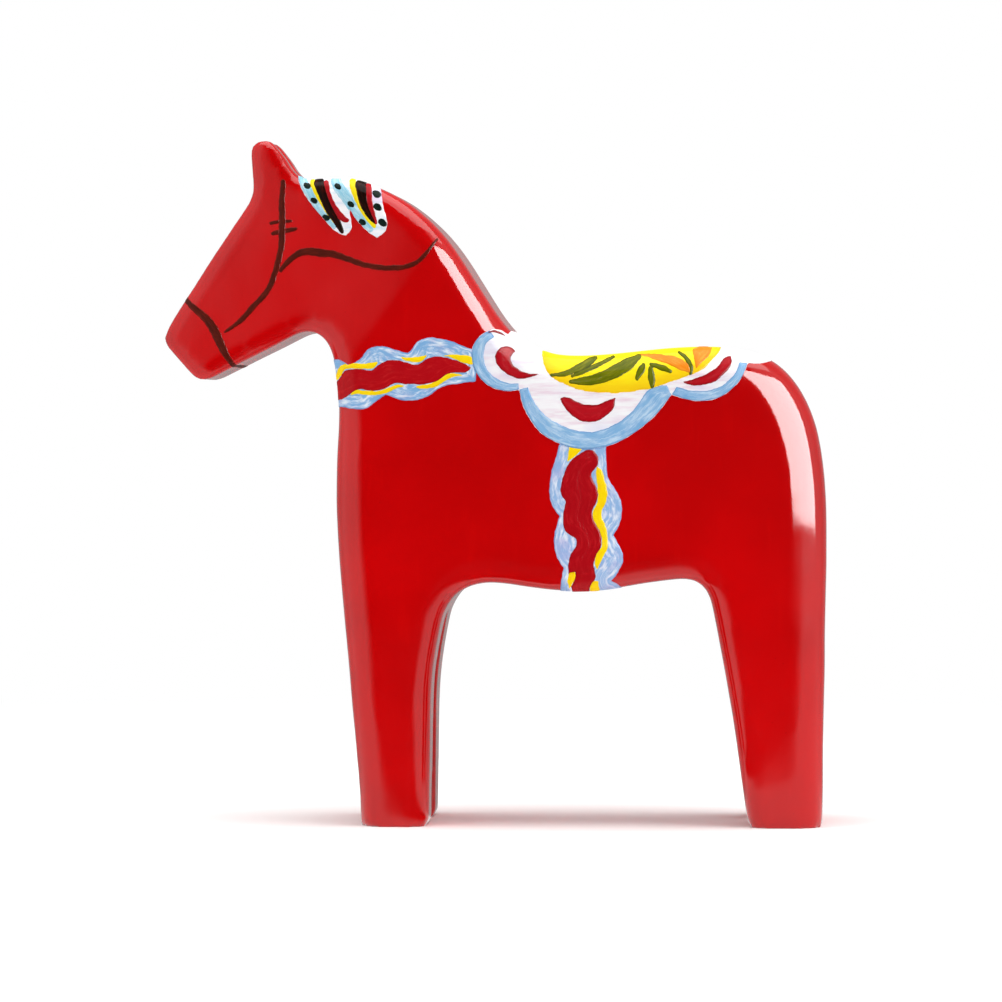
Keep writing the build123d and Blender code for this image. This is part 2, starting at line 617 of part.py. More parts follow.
# one petal in each lobe, front to rear, and a small curl at the front
SADDLE_PETALS = [
    [
        (3.0, 90.6), (4.0, 90.3), (4.5, 89.7, CORNER), (3.7, 88.8), (3.8, 87.5), (4.8, 86.5),
        (6.3, 85.8), (8.8, 85.4, CORNER), (7.3, 84.8), (5.1, 84.6), (3.2, 85.3), (1.6, 86.5),
        (0.8, 87.8), (0.8, 89.4), (1.6, 90.4),
    ],
    [
        (12.8, 80.9, CORNER), (13.7, 81.2), (15.2, 80.8), (16.9, 80.0), (18.5, 79.7),
        (20.4, 79.9), (22.0, 80.6), (23.3, 81.0, CORNER), (23.1, 79.5), (22.1, 78.1),
        (20.6, 76.9), (18.7, 76.4), (17.0, 76.6), (15.3, 77.5), (13.8, 79.0),
    ],
    [
        (36.0, 84.0, CORNER), (38.6, 84.8), (40.7, 85.7), (42.6, 87.1), (44.2, 88.7),
        (45.0, 88.8, CORNER), (45.1, 87.3), (43.7, 85.5), (41.7, 83.9), (39.2, 83.3),
        (37.3, 83.4),
    ],
    [(-0.8, 93.2, 0.09), (0.4, 93.5, 0.19), (1.5, 93.2, 0.21), (2.6, 92.5, 0.09)],
]
# flower on the saddle
FLOWER_YELLOW = [
    (9.1, 92.2, CORNER), (9.3, 89.4), (9.8, 87.2), (10.9, 85.2), (12.9, 83.9), (15.3, 82.8),
    (18.0, 82.2), (21.0, 81.9), (24.5, 81.9), (27.9, 82.4), (30.2, 82.8), (33.0, 83.7),
    (35.8, 84.7), (37.7, 85.3), (39.4, 86.0), (41.2, 87.8), (43.1, 90.0, CORNER),
    (43.7, 93.3, CORNER),
]
FLOWER_GREEN = [
    [
        (11.3, 85.2, 0.09), (13.5, 85.4, 0.26), (15.4, 86.1, 0.43), (17.3, 87.0, 0.53),
        (18.7, 87.9, 0.43), (19.6, 88.4, 0.13),
    ],
    [
        (15.0, 84.0, 0.15), (17.3, 84.1, 0.56), (20.4, 84.7, 0.81), (23.6, 86.0, 0.98),
        (26.0, 87.5, 0.83), (27.6, 88.6, 0.30),
    ],
    [(27.4, 84.5, 0.09), (27.8, 85.4, 0.38), (28.2, 86.2, 0.49), (28.5, 87.0, 0.19)],
    [(29.9, 86.6, 0.15), (30.0, 85.4, 0.41), (30.1, 84.2, 0.43), (30.2, 83.0, 0.11)],
    [(30.0, 87.2, 0.11), (31.4, 86.8, 0.30), (32.6, 86.4, 0.30), (33.7, 85.9, 0.09)],
    [(15.2, 85.0, 0.09), (17.3, 85.8, 0.19), (20.4, 87.2, 0.21), (22.9, 88.6, 0.09)],
]
FLOWER_ORANGE = [
    [
        (27.9, 89.0, 0.13), (30.4, 88.7, 0.49), (32.9, 88.1, 0.79), (35.1, 87.4, 0.98),
        (36.6, 86.5, 0.71), (37.5, 85.7, 0.17),
    ],
    [
        (37.7, 90.0, CORNER), (39.2, 90.6), (41.4, 90.3, CORNER), (40.9, 88.8), (39.5, 87.5),
        (38.4, 86.5, CORNER), (38.0, 88.3),
    ],
]

saddle = paint("saddle_white_ground", [SADDLE_GROUND])
petals = paint("saddle_crimson_petals", SADDLE_PETALS, film=2, trims=[(INSIDE, saddle)])
flower = paint(
    "saddle_yellow_flower", [FLOWER_YELLOW], film=2,
    trims=[(OUTSIDE, petals), (INSIDE, saddle)],
)
paint(
    "saddle_blue_border", SADDLE_BLUE, film=2,
    trims=[(OUTSIDE, flower), (OUTSIDE, petals), (INSIDE, saddle)],
)
green = paint("saddle_green_strokes", FLOWER_GREEN, film=3, trims=[(INSIDE, flower)])
paint(
    "saddle_orange_strokes", FLOWER_ORANGE, film=3,
    trims=[(OUTSIDE, green), (INSIDE, flower)],
)

# ---------------------------------------------------------------- breast collar
# a scalloped band that wraps round the chest
COLLAR_BAND = [
    (-34.1, 88.0, CORNER), (-29.3, 88.2), (-28.1, 87.8), (-27.3, 87.2, CORNER), (-26.0, 87.6),
    (-24.6, 88.6), (-23.8, 89.7), (-22.8, 90.4), (-21.7, 90.7), (-19.6, 90.5), (-17.7, 89.9),
    (-15.9, 89.3, CORNER), (-15.2, 89.9), (-14.6, 90.9), (-13.5, 91.9), (-12.0, 92.3),
    (-10.1, 92.2), (-7.8, 91.7), (-5.5, 90.8), (-3.7, 90.1, CORNER), (-3.0, 88.7), (-2.8, 86.2),
    (-3.0, 84.1, CORNER), (-4.0, 83.9), (-5.9, 83.7), (-7.8, 83.4), (-9.1, 83.2), (-10.1, 82.6),
    (-11.2, 81.8), (-12.6, 81.0), (-14.5, 80.5), (-16.0, 80.4), (-17.5, 80.7), (-18.7, 81.2),
    (-20.0, 81.5, CORNER), (-21.1, 80.9), (-22.1, 80.1), (-23.4, 79.2), (-24.6, 78.8),
    (-25.9, 78.9), (-27.7, 79.2), (-29.8, 79.2), (-34.0, 79.2, CORNER),
]
COLLAR_CRIMSON = [
    (-34.0, 84.2, CORNER), (-29.3, 84.2), (-28.5, 85.2), (-27.8, 86.0), (-27.0, 86.4),
    (-25.1, 86.4), (-23.8, 86.3), (-22.7, 86.2), (-21.7, 86.9), (-20.9, 87.5), (-19.6, 88.0),
    (-17.9, 88.1), (-16.2, 87.7), (-14.8, 87.3), (-13.5, 87.5), (-12.4, 88.2), (-11.0, 88.7),
    (-9.5, 88.7), (-7.8, 88.4), (-6.1, 87.9), (-4.7, 87.2), (-3.7, 86.7, CORNER), (-4.4, 86.0),
    (-5.3, 85.7), (-7.2, 85.7), (-8.2, 85.5), (-9.3, 84.8), (-10.8, 83.9), (-12.7, 83.5),
    (-14.8, 83.5), (-16.6, 83.6), (-17.9, 83.7), (-19.2, 83.3), (-20.6, 82.5), (-22.1, 82.3),
    (-23.8, 82.4), (-25.1, 82.5), (-25.9, 82.3), (-27.0, 81.4), (-28.2, 80.8), (-29.4, 80.5),
    (-34.0, 80.4, CORNER),
]
# three lines along the upper edge of the crimson, then two along its lower edge
COLLAR_YELLOW = [
    [
        (-32.1, 84.7, 0.55), (-29.4, 84.8, 0.55), (-28.8, 85.8, 0.56), (-28.0, 86.8, 0.53),
        (-26.8, 87.0, 0.51), (-25.3, 87.0, 0.51), (-23.8, 87.0, 0.55), (-22.6, 87.1, 0.56),
        (-21.6, 87.6, 0.26),
    ],
    [
        (-16.9, 88.5, 0.17), (-16.0, 88.3, 0.34), (-14.8, 88.2, 0.51), (-13.5, 88.3, 0.51),
        (-12.4, 88.8, 0.21),
    ],
    [
        (-8.9, 88.9, 0.13), (-7.6, 88.8, 0.30), (-6.1, 88.5, 0.58), (-4.8, 88.2, 0.83),
        (-3.9, 87.9, 0.68),
    ],
    [
        (-26.4, 81.7, 0.17), (-25.7, 82.1, 0.38), (-24.9, 82.1, 0.45), (-23.4, 81.9, 0.41),
        (-21.7, 81.9, 0.41), (-20.0, 82.3, 0.41), (-18.5, 82.8, 0.41), (-17.5, 83.2, 0.30),
        (-16.6, 83.2, 0.13),
    ],
    [
        (-14.1, 83.0, 0.17), (-12.8, 83.1, 0.38), (-11.6, 83.2, 0.45), (-10.3, 83.7, 0.51),
        (-9.1, 84.6, 0.55), (-7.8, 85.2, 0.45), (-6.5, 85.3, 0.30), (-5.5, 85.2, 0.13),
    ],
]

collar = paint("collar_blue_scallops", [COLLAR_BAND], trims=[(OUTSIDE, saddle)])
collar_crimson = paint(
    "collar_crimson_centre", [COLLAR_CRIMSON], film=2, trims=[(INSIDE, collar)]
)
paint(
    "collar_yellow_lines", COLLAR_YELLOW, film=2,
    trims=[(OUTSIDE, collar_crimson), (INSIDE, collar)],
)

# ---------------------------------------------------------------- girth
# a scalloped band that runs down from the saddle and under the belly
GIRTH_BAND = [
    (12.9, 73.8, CORNER), (12.7, 72.0), (12.0, 69.3), (11.1, 66.1), (10.9, 63.1), (11.6, 60.5),
    (12.8, 58.8, CORNER), (12.2, 56.5), (11.8, 53.7), (12.2, 51.5), (13.6, 49.0, CORNER),
    (12.9, 45.5), (12.2, 41.9, CORNER), (26.1, 41.9, CORNER), (24.2, 45.5), (22.5, 46.6, CORNER),
    (24.2, 48.9), (24.8, 51.3), (24.2, 53.0), (23.0, 55.2, CORNER), (24.0, 57.1), (24.6, 59.9),
    (24.2, 62.0), (23.0, 64.3, CORNER), (21.9, 66.0), (21.6, 68.9), (21.5, 71.6),
    (21.7, 73.8, CORNER),
]
# three small patches, then a long stroke down the rear side of the band
GIRTH_YELLOW = [
    [
        (14.7, 72.3, CORNER), (17.3, 72.0, CORNER), (16.9, 71.0), (16.2, 70.5), (14.9, 69.3),
        (14.2, 68.9, CORNER), (14.4, 70.3),
    ],
    [
        (14.6, 48.1, CORNER), (15.8, 48.4, CORNER), (15.8, 47.4), (15.2, 45.9),
        (14.6, 45.1, CORNER), (14.3, 46.8),
    ],
    [
        (18.3, 45.1, CORNER), (19.5, 46.7), (20.1, 46.5, CORNER), (20.4, 41.9, CORNER),
        (18.2, 41.9, CORNER),
    ],
    [
        (19.9, 68.0, 0.17), (20.2, 67.0, 0.64), (20.5, 65.6, 0.77), (20.9, 63.9, 0.92),
        (20.9, 62.5, 0.90), (20.4, 60.8, 0.75), (19.9, 59.1, 0.86), (20.2, 57.9, 0.83),
        (20.9, 56.4, 0.73), (21.3, 54.5, 0.58), (21.2, 52.6, 0.66), (20.3, 51.2, 0.66),
        (19.9, 49.9, 0.53), (19.9, 48.9, 0.19),
    ],
]
GIRTH_CRIMSON = [
    (18.1, 71.3, CORNER), (17.1, 70.9), (16.0, 70.1), (14.8, 69.1), (13.9, 67.5), (13.2, 65.4),
    (13.0, 63.9), (13.3, 62.5), (13.9, 61.5), (13.6, 60.1), (13.4, 58.0), (13.7, 56.4),
    (14.6, 55.3), (15.8, 54.5), (16.0, 53.7), (15.7, 52.8), (15.0, 51.8), (14.6, 50.6),
    (14.5, 48.6), (14.7, 46.8), (15.0, 44.9), (15.2, 41.9, CORNER), (18.9, 41.9, CORNER),
    (18.7, 44.5), (19.0, 46.0), (19.5, 47.2), (19.5, 48.4), (19.3, 49.5), (19.6, 50.8),
    (20.4, 52.4), (20.7, 54.5), (20.2, 56.6), (19.3, 58.1), (19.0, 59.3), (19.6, 61.0),
    (20.0, 62.5), (19.9, 63.9), (19.4, 65.2), (18.9, 66.6), (19.3, 67.5), (20.0, 68.5),
    (20.1, 70.0), (19.6, 70.8), (18.8, 71.2),
]

girth = paint("girth_blue_edging", [GIRTH_BAND], trims=[(OUTSIDE, saddle)])
girth_yellow = paint("girth_yellow_lines", GIRTH_YELLOW, film=2, trims=[(INSIDE, girth)])
paint(
    "girth_crimson_centre", [GIRTH_CRIMSON], film=2,
    trims=[(OUTSIDE, girth_yellow), (INSIDE, girth)],
)
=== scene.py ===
# A carved and painted wooden horse standing on a white paper floor.
# It stands on z = 0 with its nose toward -X, its rump toward +X and its flanks facing -Y and +Y.
# The camera looks along +Y at the -Y flank; both flanks carry the same painted marks.
import math
from functools import cached_property

import bpy
import numpy as np
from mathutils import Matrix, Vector, noise


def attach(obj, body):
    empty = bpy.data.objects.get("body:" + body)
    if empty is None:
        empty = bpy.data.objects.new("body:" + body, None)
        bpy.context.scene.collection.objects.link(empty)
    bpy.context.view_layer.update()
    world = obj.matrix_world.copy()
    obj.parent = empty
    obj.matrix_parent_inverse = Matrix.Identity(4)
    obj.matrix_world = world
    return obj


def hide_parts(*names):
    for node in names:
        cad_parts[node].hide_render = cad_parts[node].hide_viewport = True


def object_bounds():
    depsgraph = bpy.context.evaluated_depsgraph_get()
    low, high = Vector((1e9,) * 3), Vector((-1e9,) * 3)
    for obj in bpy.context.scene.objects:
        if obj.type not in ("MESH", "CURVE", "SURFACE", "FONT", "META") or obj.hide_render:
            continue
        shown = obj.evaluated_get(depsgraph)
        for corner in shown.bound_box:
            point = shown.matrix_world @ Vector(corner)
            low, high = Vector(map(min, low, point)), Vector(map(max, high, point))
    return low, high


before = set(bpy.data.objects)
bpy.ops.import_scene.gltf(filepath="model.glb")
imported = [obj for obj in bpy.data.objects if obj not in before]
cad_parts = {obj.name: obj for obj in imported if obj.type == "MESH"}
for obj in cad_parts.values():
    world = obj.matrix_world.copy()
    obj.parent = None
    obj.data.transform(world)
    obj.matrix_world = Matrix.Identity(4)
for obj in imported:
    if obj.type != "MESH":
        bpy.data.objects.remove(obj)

CAD_BOX = [list(c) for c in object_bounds()]
MM = 0.001

# ------------------------------------------------------------------ sizes
VOXEL = 0.88 * MM
COAT_THICKNESS = 0.30 * MM
COAT_UNDERSIDE = 0.04 * MM  # the coat's inner face, out from the wood

# Paint films, mm out from the red skin: {layer: (floor, top)}.
LAYERS = {1: (0.00, 0.11), 2: (0.07, 0.19), 3: (0.15, 0.26)}
EDGE_HEIGHT = 0.02  # height of a film above its floor at the very edge
FILM_SINK = 0.05  # how far a film's underside lies below its floor
BEAD_WIDTH = 0.30  # width of the rounded shoulder along a film's edge
INSET = 0.03  # gap kept to the edge of the ground a mark lies on
OVERLAP = 0.05  # how far a film reaches into the marks it stops at

# ------------------------------------------------------------------ strokes
# Each stroke is a list of (x, z, half width) stations along the brush mark, mm.
CHEEK_STRAP = [
    (-40.08, 121.96, 0.49), (-40.23, 118.15, 0.60), (-40.15, 111.87, 0.64),
    (-40.50, 108.26, 0.60), (-41.24, 105.41, 0.58), (-42.55, 101.80, 0.56),
    (-45.60, 98.21, 0.56), (-48.09, 95.56, 0.49), (-50.97, 93.48, 0.23),
]
BROW_TICKS = [
    [(-42.31, 114.17, 0.30), (-40.38, 114.44, 0.38), (-38.44, 114.52, 0.26)],
    [(-41.90, 112.16, 0.38), (-39.77, 112.63, 0.49), (-37.46, 112.99, 0.34)],
]
REIN = [
    (-40.27, 105.21, 0.45), (-38.17, 107.48, 0.60), (-36.06, 108.61, 0.71),
    (-33.16, 108.49, 0.79), (-30.07, 108.10, 0.68), (-26.41, 106.84, 0.56),
    (-23.13, 105.88, 0.53), (-19.49, 105.48, 0.53), (-15.85, 105.84, 0.49),
    (-13.95, 106.67, 0.45), (-12.25, 108.46, 0.38), (-10.36, 110.90, 0.19),
]
NOSEBAND = [
    (-59.84, 101.50, 0.41), (-58.04, 98.92, 0.53), (-56.07, 97.30, 0.68),
    (-54.30, 95.58, 0.79), (-52.91, 93.48, 0.86), (-51.71, 91.01, 0.79),
    (-50.72, 89.11, 0.68), (-49.73, 87.59, 0.56), (-48.15, 85.32, 0.45),
]
# Upper row of lines first, then the lower row, each from front to back.
COLLAR_YELLOW = [
    [
        (-32.13, 84.74, 0.55), (-29.44, 84.81, 0.55), (-28.78, 85.83, 0.56),
        (-28.00, 86.77, 0.53), (-26.78, 87.00, 0.51), (-25.30, 86.98, 0.51),
        (-23.82, 86.98, 0.55), (-22.56, 87.07, 0.56), (-21.65, 87.60, 0.26),
    ],
    [
        (-16.87, 88.54, 0.17), (-16.02, 88.29, 0.34), (-14.77, 88.16, 0.51),
        (-13.50, 88.29, 0.51), (-12.44, 88.85, 0.21),
    ],
    [
        (-8.88, 88.90, 0.13), (-7.61, 88.85, 0.30), (-6.13, 88.53, 0.58),
        (-4.75, 88.22, 0.83), (-3.92, 87.89, 0.68),
    ],
    [
        (-26.44, 81.65, 0.17), (-25.70, 82.06, 0.38), (-24.86, 82.06, 0.45),
        (-23.38, 81.89, 0.41), (-21.69, 81.91, 0.41), (-20.00, 82.27, 0.41),
        (-18.54, 82.85, 0.41), (-17.48, 83.21, 0.30), (-16.64, 83.21, 0.13),
    ],
    [
        (-14.10, 83.04, 0.17), (-12.85, 83.06, 0.38), (-11.58, 83.21, 0.45),
        (-10.32, 83.73, 0.51), (-9.07, 84.56, 0.55), (-7.80, 85.20, 0.45),
        (-6.54, 85.29, 0.30), (-5.50, 85.24, 0.13),
    ],
]
# Each mane colour has one stroke on the front lock and one on the rear lock.
MANE_BLUE = [
    [
        (-36.61, 122.88, 0.38), (-36.03, 121.56, 0.49), (-35.01, 119.97, 0.55),
        (-33.85, 118.27, 0.55), (-32.87, 116.78, 0.53), (-31.55, 114.87, 0.43),
        (-30.26, 113.37, 0.23),
    ],
    [
        (-30.03, 122.25, 0.64), (-29.38, 120.97, 0.73), (-28.19, 119.49, 0.79),
        (-26.88, 117.58, 0.73), (-25.58, 115.88, 0.68), (-24.29, 114.18, 0.55),
        (-23.09, 112.81, 0.26),
    ],
]
MANE_YELLOW = [
    [
        (-34.47, 122.01, 0.28), (-34.07, 120.80, 0.28), (-33.40, 119.31, 0.28),
        (-32.61, 118.05, 0.28), (-31.82, 116.77, 0.24), (-31.00, 115.49, 0.19),
        (-30.22, 114.34, 0.08),
    ],
    [
        (-26.75, 121.95, 0.41), (-26.41, 120.52, 0.38), (-25.86, 118.83, 0.28),
        (-25.16, 117.09, 0.26), (-24.19, 115.59, 0.26), (-23.22, 114.31, 0.28),
        (-22.32, 113.37, 0.13),
    ],
]
MANE_BROWN = [
    [
        (-33.19, 121.63, 0.86), (-32.79, 120.56, 0.75), (-32.39, 119.51, 0.70),
        (-31.68, 117.79, 0.64), (-30.74, 116.02, 0.60), (-29.84, 114.64, 0.49),
        (-29.09, 113.36, 0.34), (-28.50, 112.32, 0.09),
    ],
    [
        (-25.21, 121.25, 0.90), (-24.99, 120.38, 0.85), (-24.80, 119.24, 0.75),
        (-24.42, 117.56, 0.62), (-23.73, 116.08, 0.45), (-22.97, 114.86, 0.28),
        (-22.37, 114.09, 0.08),
    ],
]
MANE_CRIMSON = [
    [
        (-31.80, 121.58, 0.28), (-31.43, 119.73, 0.32), (-30.68, 117.77, 0.38),
        (-29.46, 115.97, 0.39), (-28.30, 114.86, 0.28), (-27.60, 114.51, 0.09),
    ],
    [
        (-23.82, 120.97, 0.30), (-23.60, 119.87, 0.30), (-23.47, 118.60, 0.32),
        (-23.19, 117.11, 0.32), (-22.83, 115.86, 0.28), (-22.43, 114.79, 0.19),
        (-22.14, 114.09, 0.08),
    ],
]
MANE_DOTS = [
    [(-35.74, 121.31, 0.28), (-35.44, 121.10, 0.39), (-35.15, 120.89, 0.28)],
    [(-34.29, 118.54, 0.28), (-34.00, 118.33, 0.39), (-33.71, 118.12, 0.28)],
    [(-31.90, 115.30, 0.28), (-31.61, 115.09, 0.39), (-31.32, 114.88, 0.28)],
    [(-29.77, 121.14, 0.28), (-29.48, 120.93, 0.39), (-29.19, 120.72, 0.28)],
    [(-27.17, 117.79, 0.28), (-26.88, 117.58, 0.39), (-26.59, 117.37, 0.28)],
    [(-24.89, 114.40, 0.28), (-24.60, 114.19, 0.39), (-24.31, 113.97, 0.28)],
    [(-22.38, 119.65, 0.28), (-22.09, 119.44, 0.39), (-21.80, 119.23, 0.28)],
    [(-22.03, 117.22, 0.28), (-21.74, 117.01, 0.39), (-21.45, 116.80, 0.28)],
    [(-21.05, 114.29, 0.28), (-20.76, 114.08, 0.39), (-20.47, 113.87, 0.28)],
]
GIRTH_YELLOW_REAR = [
    (19.89, 67.98, 0.17), (20.21, 67.04, 0.64), (20.51, 65.57, 0.77), (20.87, 63.90, 0.92),
    (20.93, 62.46, 0.90), (20.42, 60.78, 0.75), (19.90, 59.11, 0.86), (20.22, 57.85, 0.83),
    (20.95, 56.39, 0.73), (21.29, 54.51, 0.58), (21.16, 52.63, 0.66), (20.31, 51.18, 0.66),
    (19.90, 49.92, 0.53), (19.90, 48.89, 0.19),
]
SADDLE_CURL = [
    (-0.83, 93.18, 0.09), (0.36, 93.46, 0.19), (1.47, 93.18, 0.21), (2.56, 92.50, 0.09),
]
SADDLE_GREEN = [
    [
        (35.25, 89.40, 0.08), (36.20, 88.75, 0.16), (36.90, 87.90, 0.22),
        (37.50, 86.80, 0.20), (37.45, 85.45, 0.08),
    ],
    [
        (11.34, 85.23, 0.09), (13.52, 85.44, 0.26), (15.40, 86.08, 0.43),
        (17.28, 87.02, 0.53), (18.68, 87.86, 0.43), (19.57, 88.37, 0.13),
    ],
    [
        (14.97, 84.01, 0.15), (17.28, 84.11, 0.56), (20.41, 84.65, 0.81),
        (23.55, 86.04, 0.98), (26.04, 87.50, 0.83), (27.64, 88.59, 0.30),
    ],
    [(27.36, 84.50, 0.09), (27.77, 85.44, 0.38), (28.16, 86.23, 0.49), (28.54, 86.98, 0.19)],
    [(29.95, 86.56, 0.15), (30.02, 85.44, 0.41), (30.12, 84.20, 0.43), (30.21, 83.04, 0.11)],
    [(29.98, 87.24, 0.11), (31.35, 86.79, 0.30), (32.61, 86.36, 0.30), (33.66, 85.94, 0.09)],
    [(15.15, 85.03, 0.09), (17.28, 85.85, 0.19), (20.41, 87.24, 0.21), (22.91, 88.57, 0.09)],
]
ORANGE_STROKE = [
    (27.92, 89.04, 0.13), (30.41, 88.66, 0.49), (32.93, 88.14, 0.79), (35.10, 87.39, 0.98),
    (36.64, 86.49, 0.71), (37.45, 85.74, 0.17),
]

# ------------------------------------------------------------------ patches
# Each patch is a closed outline of (x, z) points, mm, with its sharp corners marked.
CORNER = True
MANE_LOCKS = [
    [
        (-37.59, 124.61, CORNER), (-37.18, 122.32), (-35.99, 119.64), (-34.71, 117.82),
        (-32.66, 115.42), (-30.90, 113.51), (-28.86, 111.98), (-27.80, 111.59, CORNER),
        (-26.85, 112.91), (-26.97, 115.19), (-27.18, 116.90, CORNER), (-29.08, 123.76, CORNER),
    ],
    [
        (-31.60, 124.93, CORNER), (-27.18, 116.90), (-26.10, 114.99), (-24.55, 113.27),
        (-23.00, 111.94), (-21.84, 111.26, CORNER), (-20.60, 112.11), (-19.94, 113.43),
        (-20.15, 115.33), (-20.75, 117.42), (-21.15, 119.51), (-22.14, 122.17, CORNER),
    ],
]
COLLAR_BAND = [
    (-34.09, 87.95, CORNER), (-29.29, 88.23), (-28.13, 87.85), (-27.26, 87.22, CORNER),
    (-26.02, 87.60), (-24.60, 88.60), (-23.75, 89.73), (-22.80, 90.39), (-21.66, 90.71),
    (-19.57, 90.48), (-17.67, 89.91), (-15.87, 89.34, CORNER), (-15.21, 89.91),
    (-14.55, 90.94), (-13.51, 91.88), (-11.99, 92.30), (-10.10, 92.20), (-7.83, 91.69),
    (-5.55, 90.84), (-3.66, 90.08, CORNER), (-2.99, 88.67), (-2.81, 86.23),
    (-2.98, 84.11, CORNER), (-4.03, 83.94), (-5.91, 83.73), (-7.80, 83.41), (-9.07, 83.15),
    (-10.10, 82.62), (-11.16, 81.83), (-12.64, 81.01), (-14.53, 80.55), (-15.99, 80.44),
    (-17.47, 80.70), (-18.74, 81.18), (-20.00, 81.53, CORNER), (-21.06, 80.91),
    (-22.12, 80.06), (-23.37, 79.16), (-24.64, 78.82), (-25.91, 78.88), (-27.70, 79.18),
    (-29.79, 79.18), (-33.99, 79.17, CORNER),
]
COLLAR_CRIMSON = [
    (-34.05, 84.17, CORNER), (-29.34, 84.21), (-28.47, 85.23), (-27.81, 86.02),
    (-26.97, 86.39), (-25.09, 86.41), (-23.81, 86.34), (-22.69, 86.17), (-21.71, 86.86),
    (-20.87, 87.50), (-19.60, 88.01), (-17.91, 88.12), (-16.22, 87.71), (-14.76, 87.29),
    (-13.49, 87.50), (-12.43, 88.23), (-10.98, 88.74), (-9.50, 88.74), (-7.81, 88.43),
    (-6.13, 87.87), (-4.65, 87.23), (-3.71, 86.72, CORNER), (-4.44, 86.03), (-5.29, 85.71),
    (-7.18, 85.71), (-8.22, 85.50), (-9.28, 84.77), (-10.75, 83.94), (-12.65, 83.53),
    (-14.75, 83.53), (-16.65, 83.62), (-17.90, 83.74), (-19.17, 83.30), (-20.65, 82.55),
    (-22.13, 82.29), (-23.80, 82.44), (-25.07, 82.55), (-25.93, 82.27), (-26.97, 81.42),
    (-28.24, 80.78), (-29.42, 80.48), (-34.00, 80.40, CORNER),
]
GIRTH_BAND = [
    (12.90, 73.83, CORNER), (12.71, 71.96), (11.96, 69.32), (11.13, 66.13), (10.93, 63.12),
    (11.59, 60.49), (12.81, 58.80, CORNER), (12.15, 56.54), (11.78, 53.72), (12.15, 51.47),
    (13.56, 49.03, CORNER), (12.91, 45.45), (12.16, 41.88, CORNER), (26.07, 41.90, CORNER),
    (24.19, 45.47), (22.49, 46.60, CORNER), (24.18, 48.86), (24.75, 51.30), (24.18, 52.99),
    (22.96, 55.24, CORNER), (23.99, 57.12), (24.56, 59.94), (24.18, 62.01),
    (22.96, 64.26, CORNER), (21.92, 65.95), (21.64, 68.86), (21.54, 71.58),
    (21.73, 73.84, CORNER),
]
GIRTH_CRIMSON = [
    (18.07, 71.28, CORNER), (17.07, 70.87), (16.02, 70.13), (14.78, 69.08), (13.94, 67.45),
    (13.20, 65.36), (13.00, 63.89), (13.32, 62.45), (13.94, 61.51), (13.64, 60.14),
    (13.43, 58.05), (13.73, 56.38), (14.58, 55.34), (15.76, 54.50), (16.03, 53.67),
    (15.73, 52.83), (14.99, 51.79), (14.58, 50.64), (14.47, 48.65), (14.67, 46.77),
    (14.98, 44.89), (15.17, 41.88, CORNER), (18.93, 41.89, CORNER), (18.74, 44.52),
    (19.04, 46.03), (19.54, 47.16), (19.54, 48.42), (19.28, 49.50), (19.58, 50.75),
    (20.43, 52.42), (20.73, 54.51), (20.22, 56.59), (19.28, 58.06), (18.96, 59.32),
    (19.58, 60.99), (20.01, 62.45), (19.89, 63.90), (19.37, 65.16), (18.88, 66.62),
    (19.27, 67.45), (20.01, 68.50), (20.10, 69.97), (19.57, 70.79), (18.75, 71.24),
]
GIRTH_YELLOW_PATCHES = [
    [
        (14.67, 72.33, CORNER), (17.34, 71.96, CORNER), (16.85, 71.02), (16.23, 70.47),
        (14.88, 69.33), (14.18, 68.91, CORNER), (14.37, 70.27),
    ],
    [
        (14.58, 48.14, CORNER), (15.82, 48.35, CORNER), (15.78, 47.41), (15.20, 45.94),
        (14.56, 45.08, CORNER), (14.26, 46.77),
    ],
    [
        (18.34, 45.14, CORNER), (19.49, 46.67), (20.09, 46.52, CORNER),
        (20.43, 41.89, CORNER), (18.17, 41.89, CORNER),
    ],
]
# The saddle's lower edge has three lobes, shared by its white ground and its blue border.
FRONT_NOTCH = (5.25, 82.53, CORNER)
REAR_NOTCH = (33.83, 81.63, CORNER)
REAR_TIP = (48.07, 87.53, CORNER)
FRONT_LOBE = [
    (-1.21, 93.28), (-2.53, 92.24), (-3.47, 90.74), (-3.69, 88.86), (-3.28, 86.61),
    (-2.15, 84.73), (-0.74, 83.41), (1.24, 82.57), (3.18, 82.25),
]
MIDDLE_LOBE = [
    (5.85, 79.84), (7.26, 77.03), (9.33, 74.40), (12.52, 72.52), (15.34, 71.58),
    (18.73, 71.43), (21.92, 71.96), (25.67, 73.65), (29.05, 76.09), (31.87, 78.91),
]
REAR_LOBE = [(35.99, 80.88), (39.55, 80.41), (42.74, 81.07), (45.36, 82.85), (47.23, 85.28)]
SADDLE_GROUND = [
    (5.00, 95.99, CORNER), (3.03, 92.99, CORNER), (1.62, 93.71), (0.20, 93.84),
    *FRONT_LOBE, FRONT_NOTCH, *MIDDLE_LOBE, REAR_NOTCH, *REAR_LOBE, REAR_TIP,
    (50.04, 87.42), (52.47, 87.91, CORNER), (53.77, 93.71, CORNER),
]
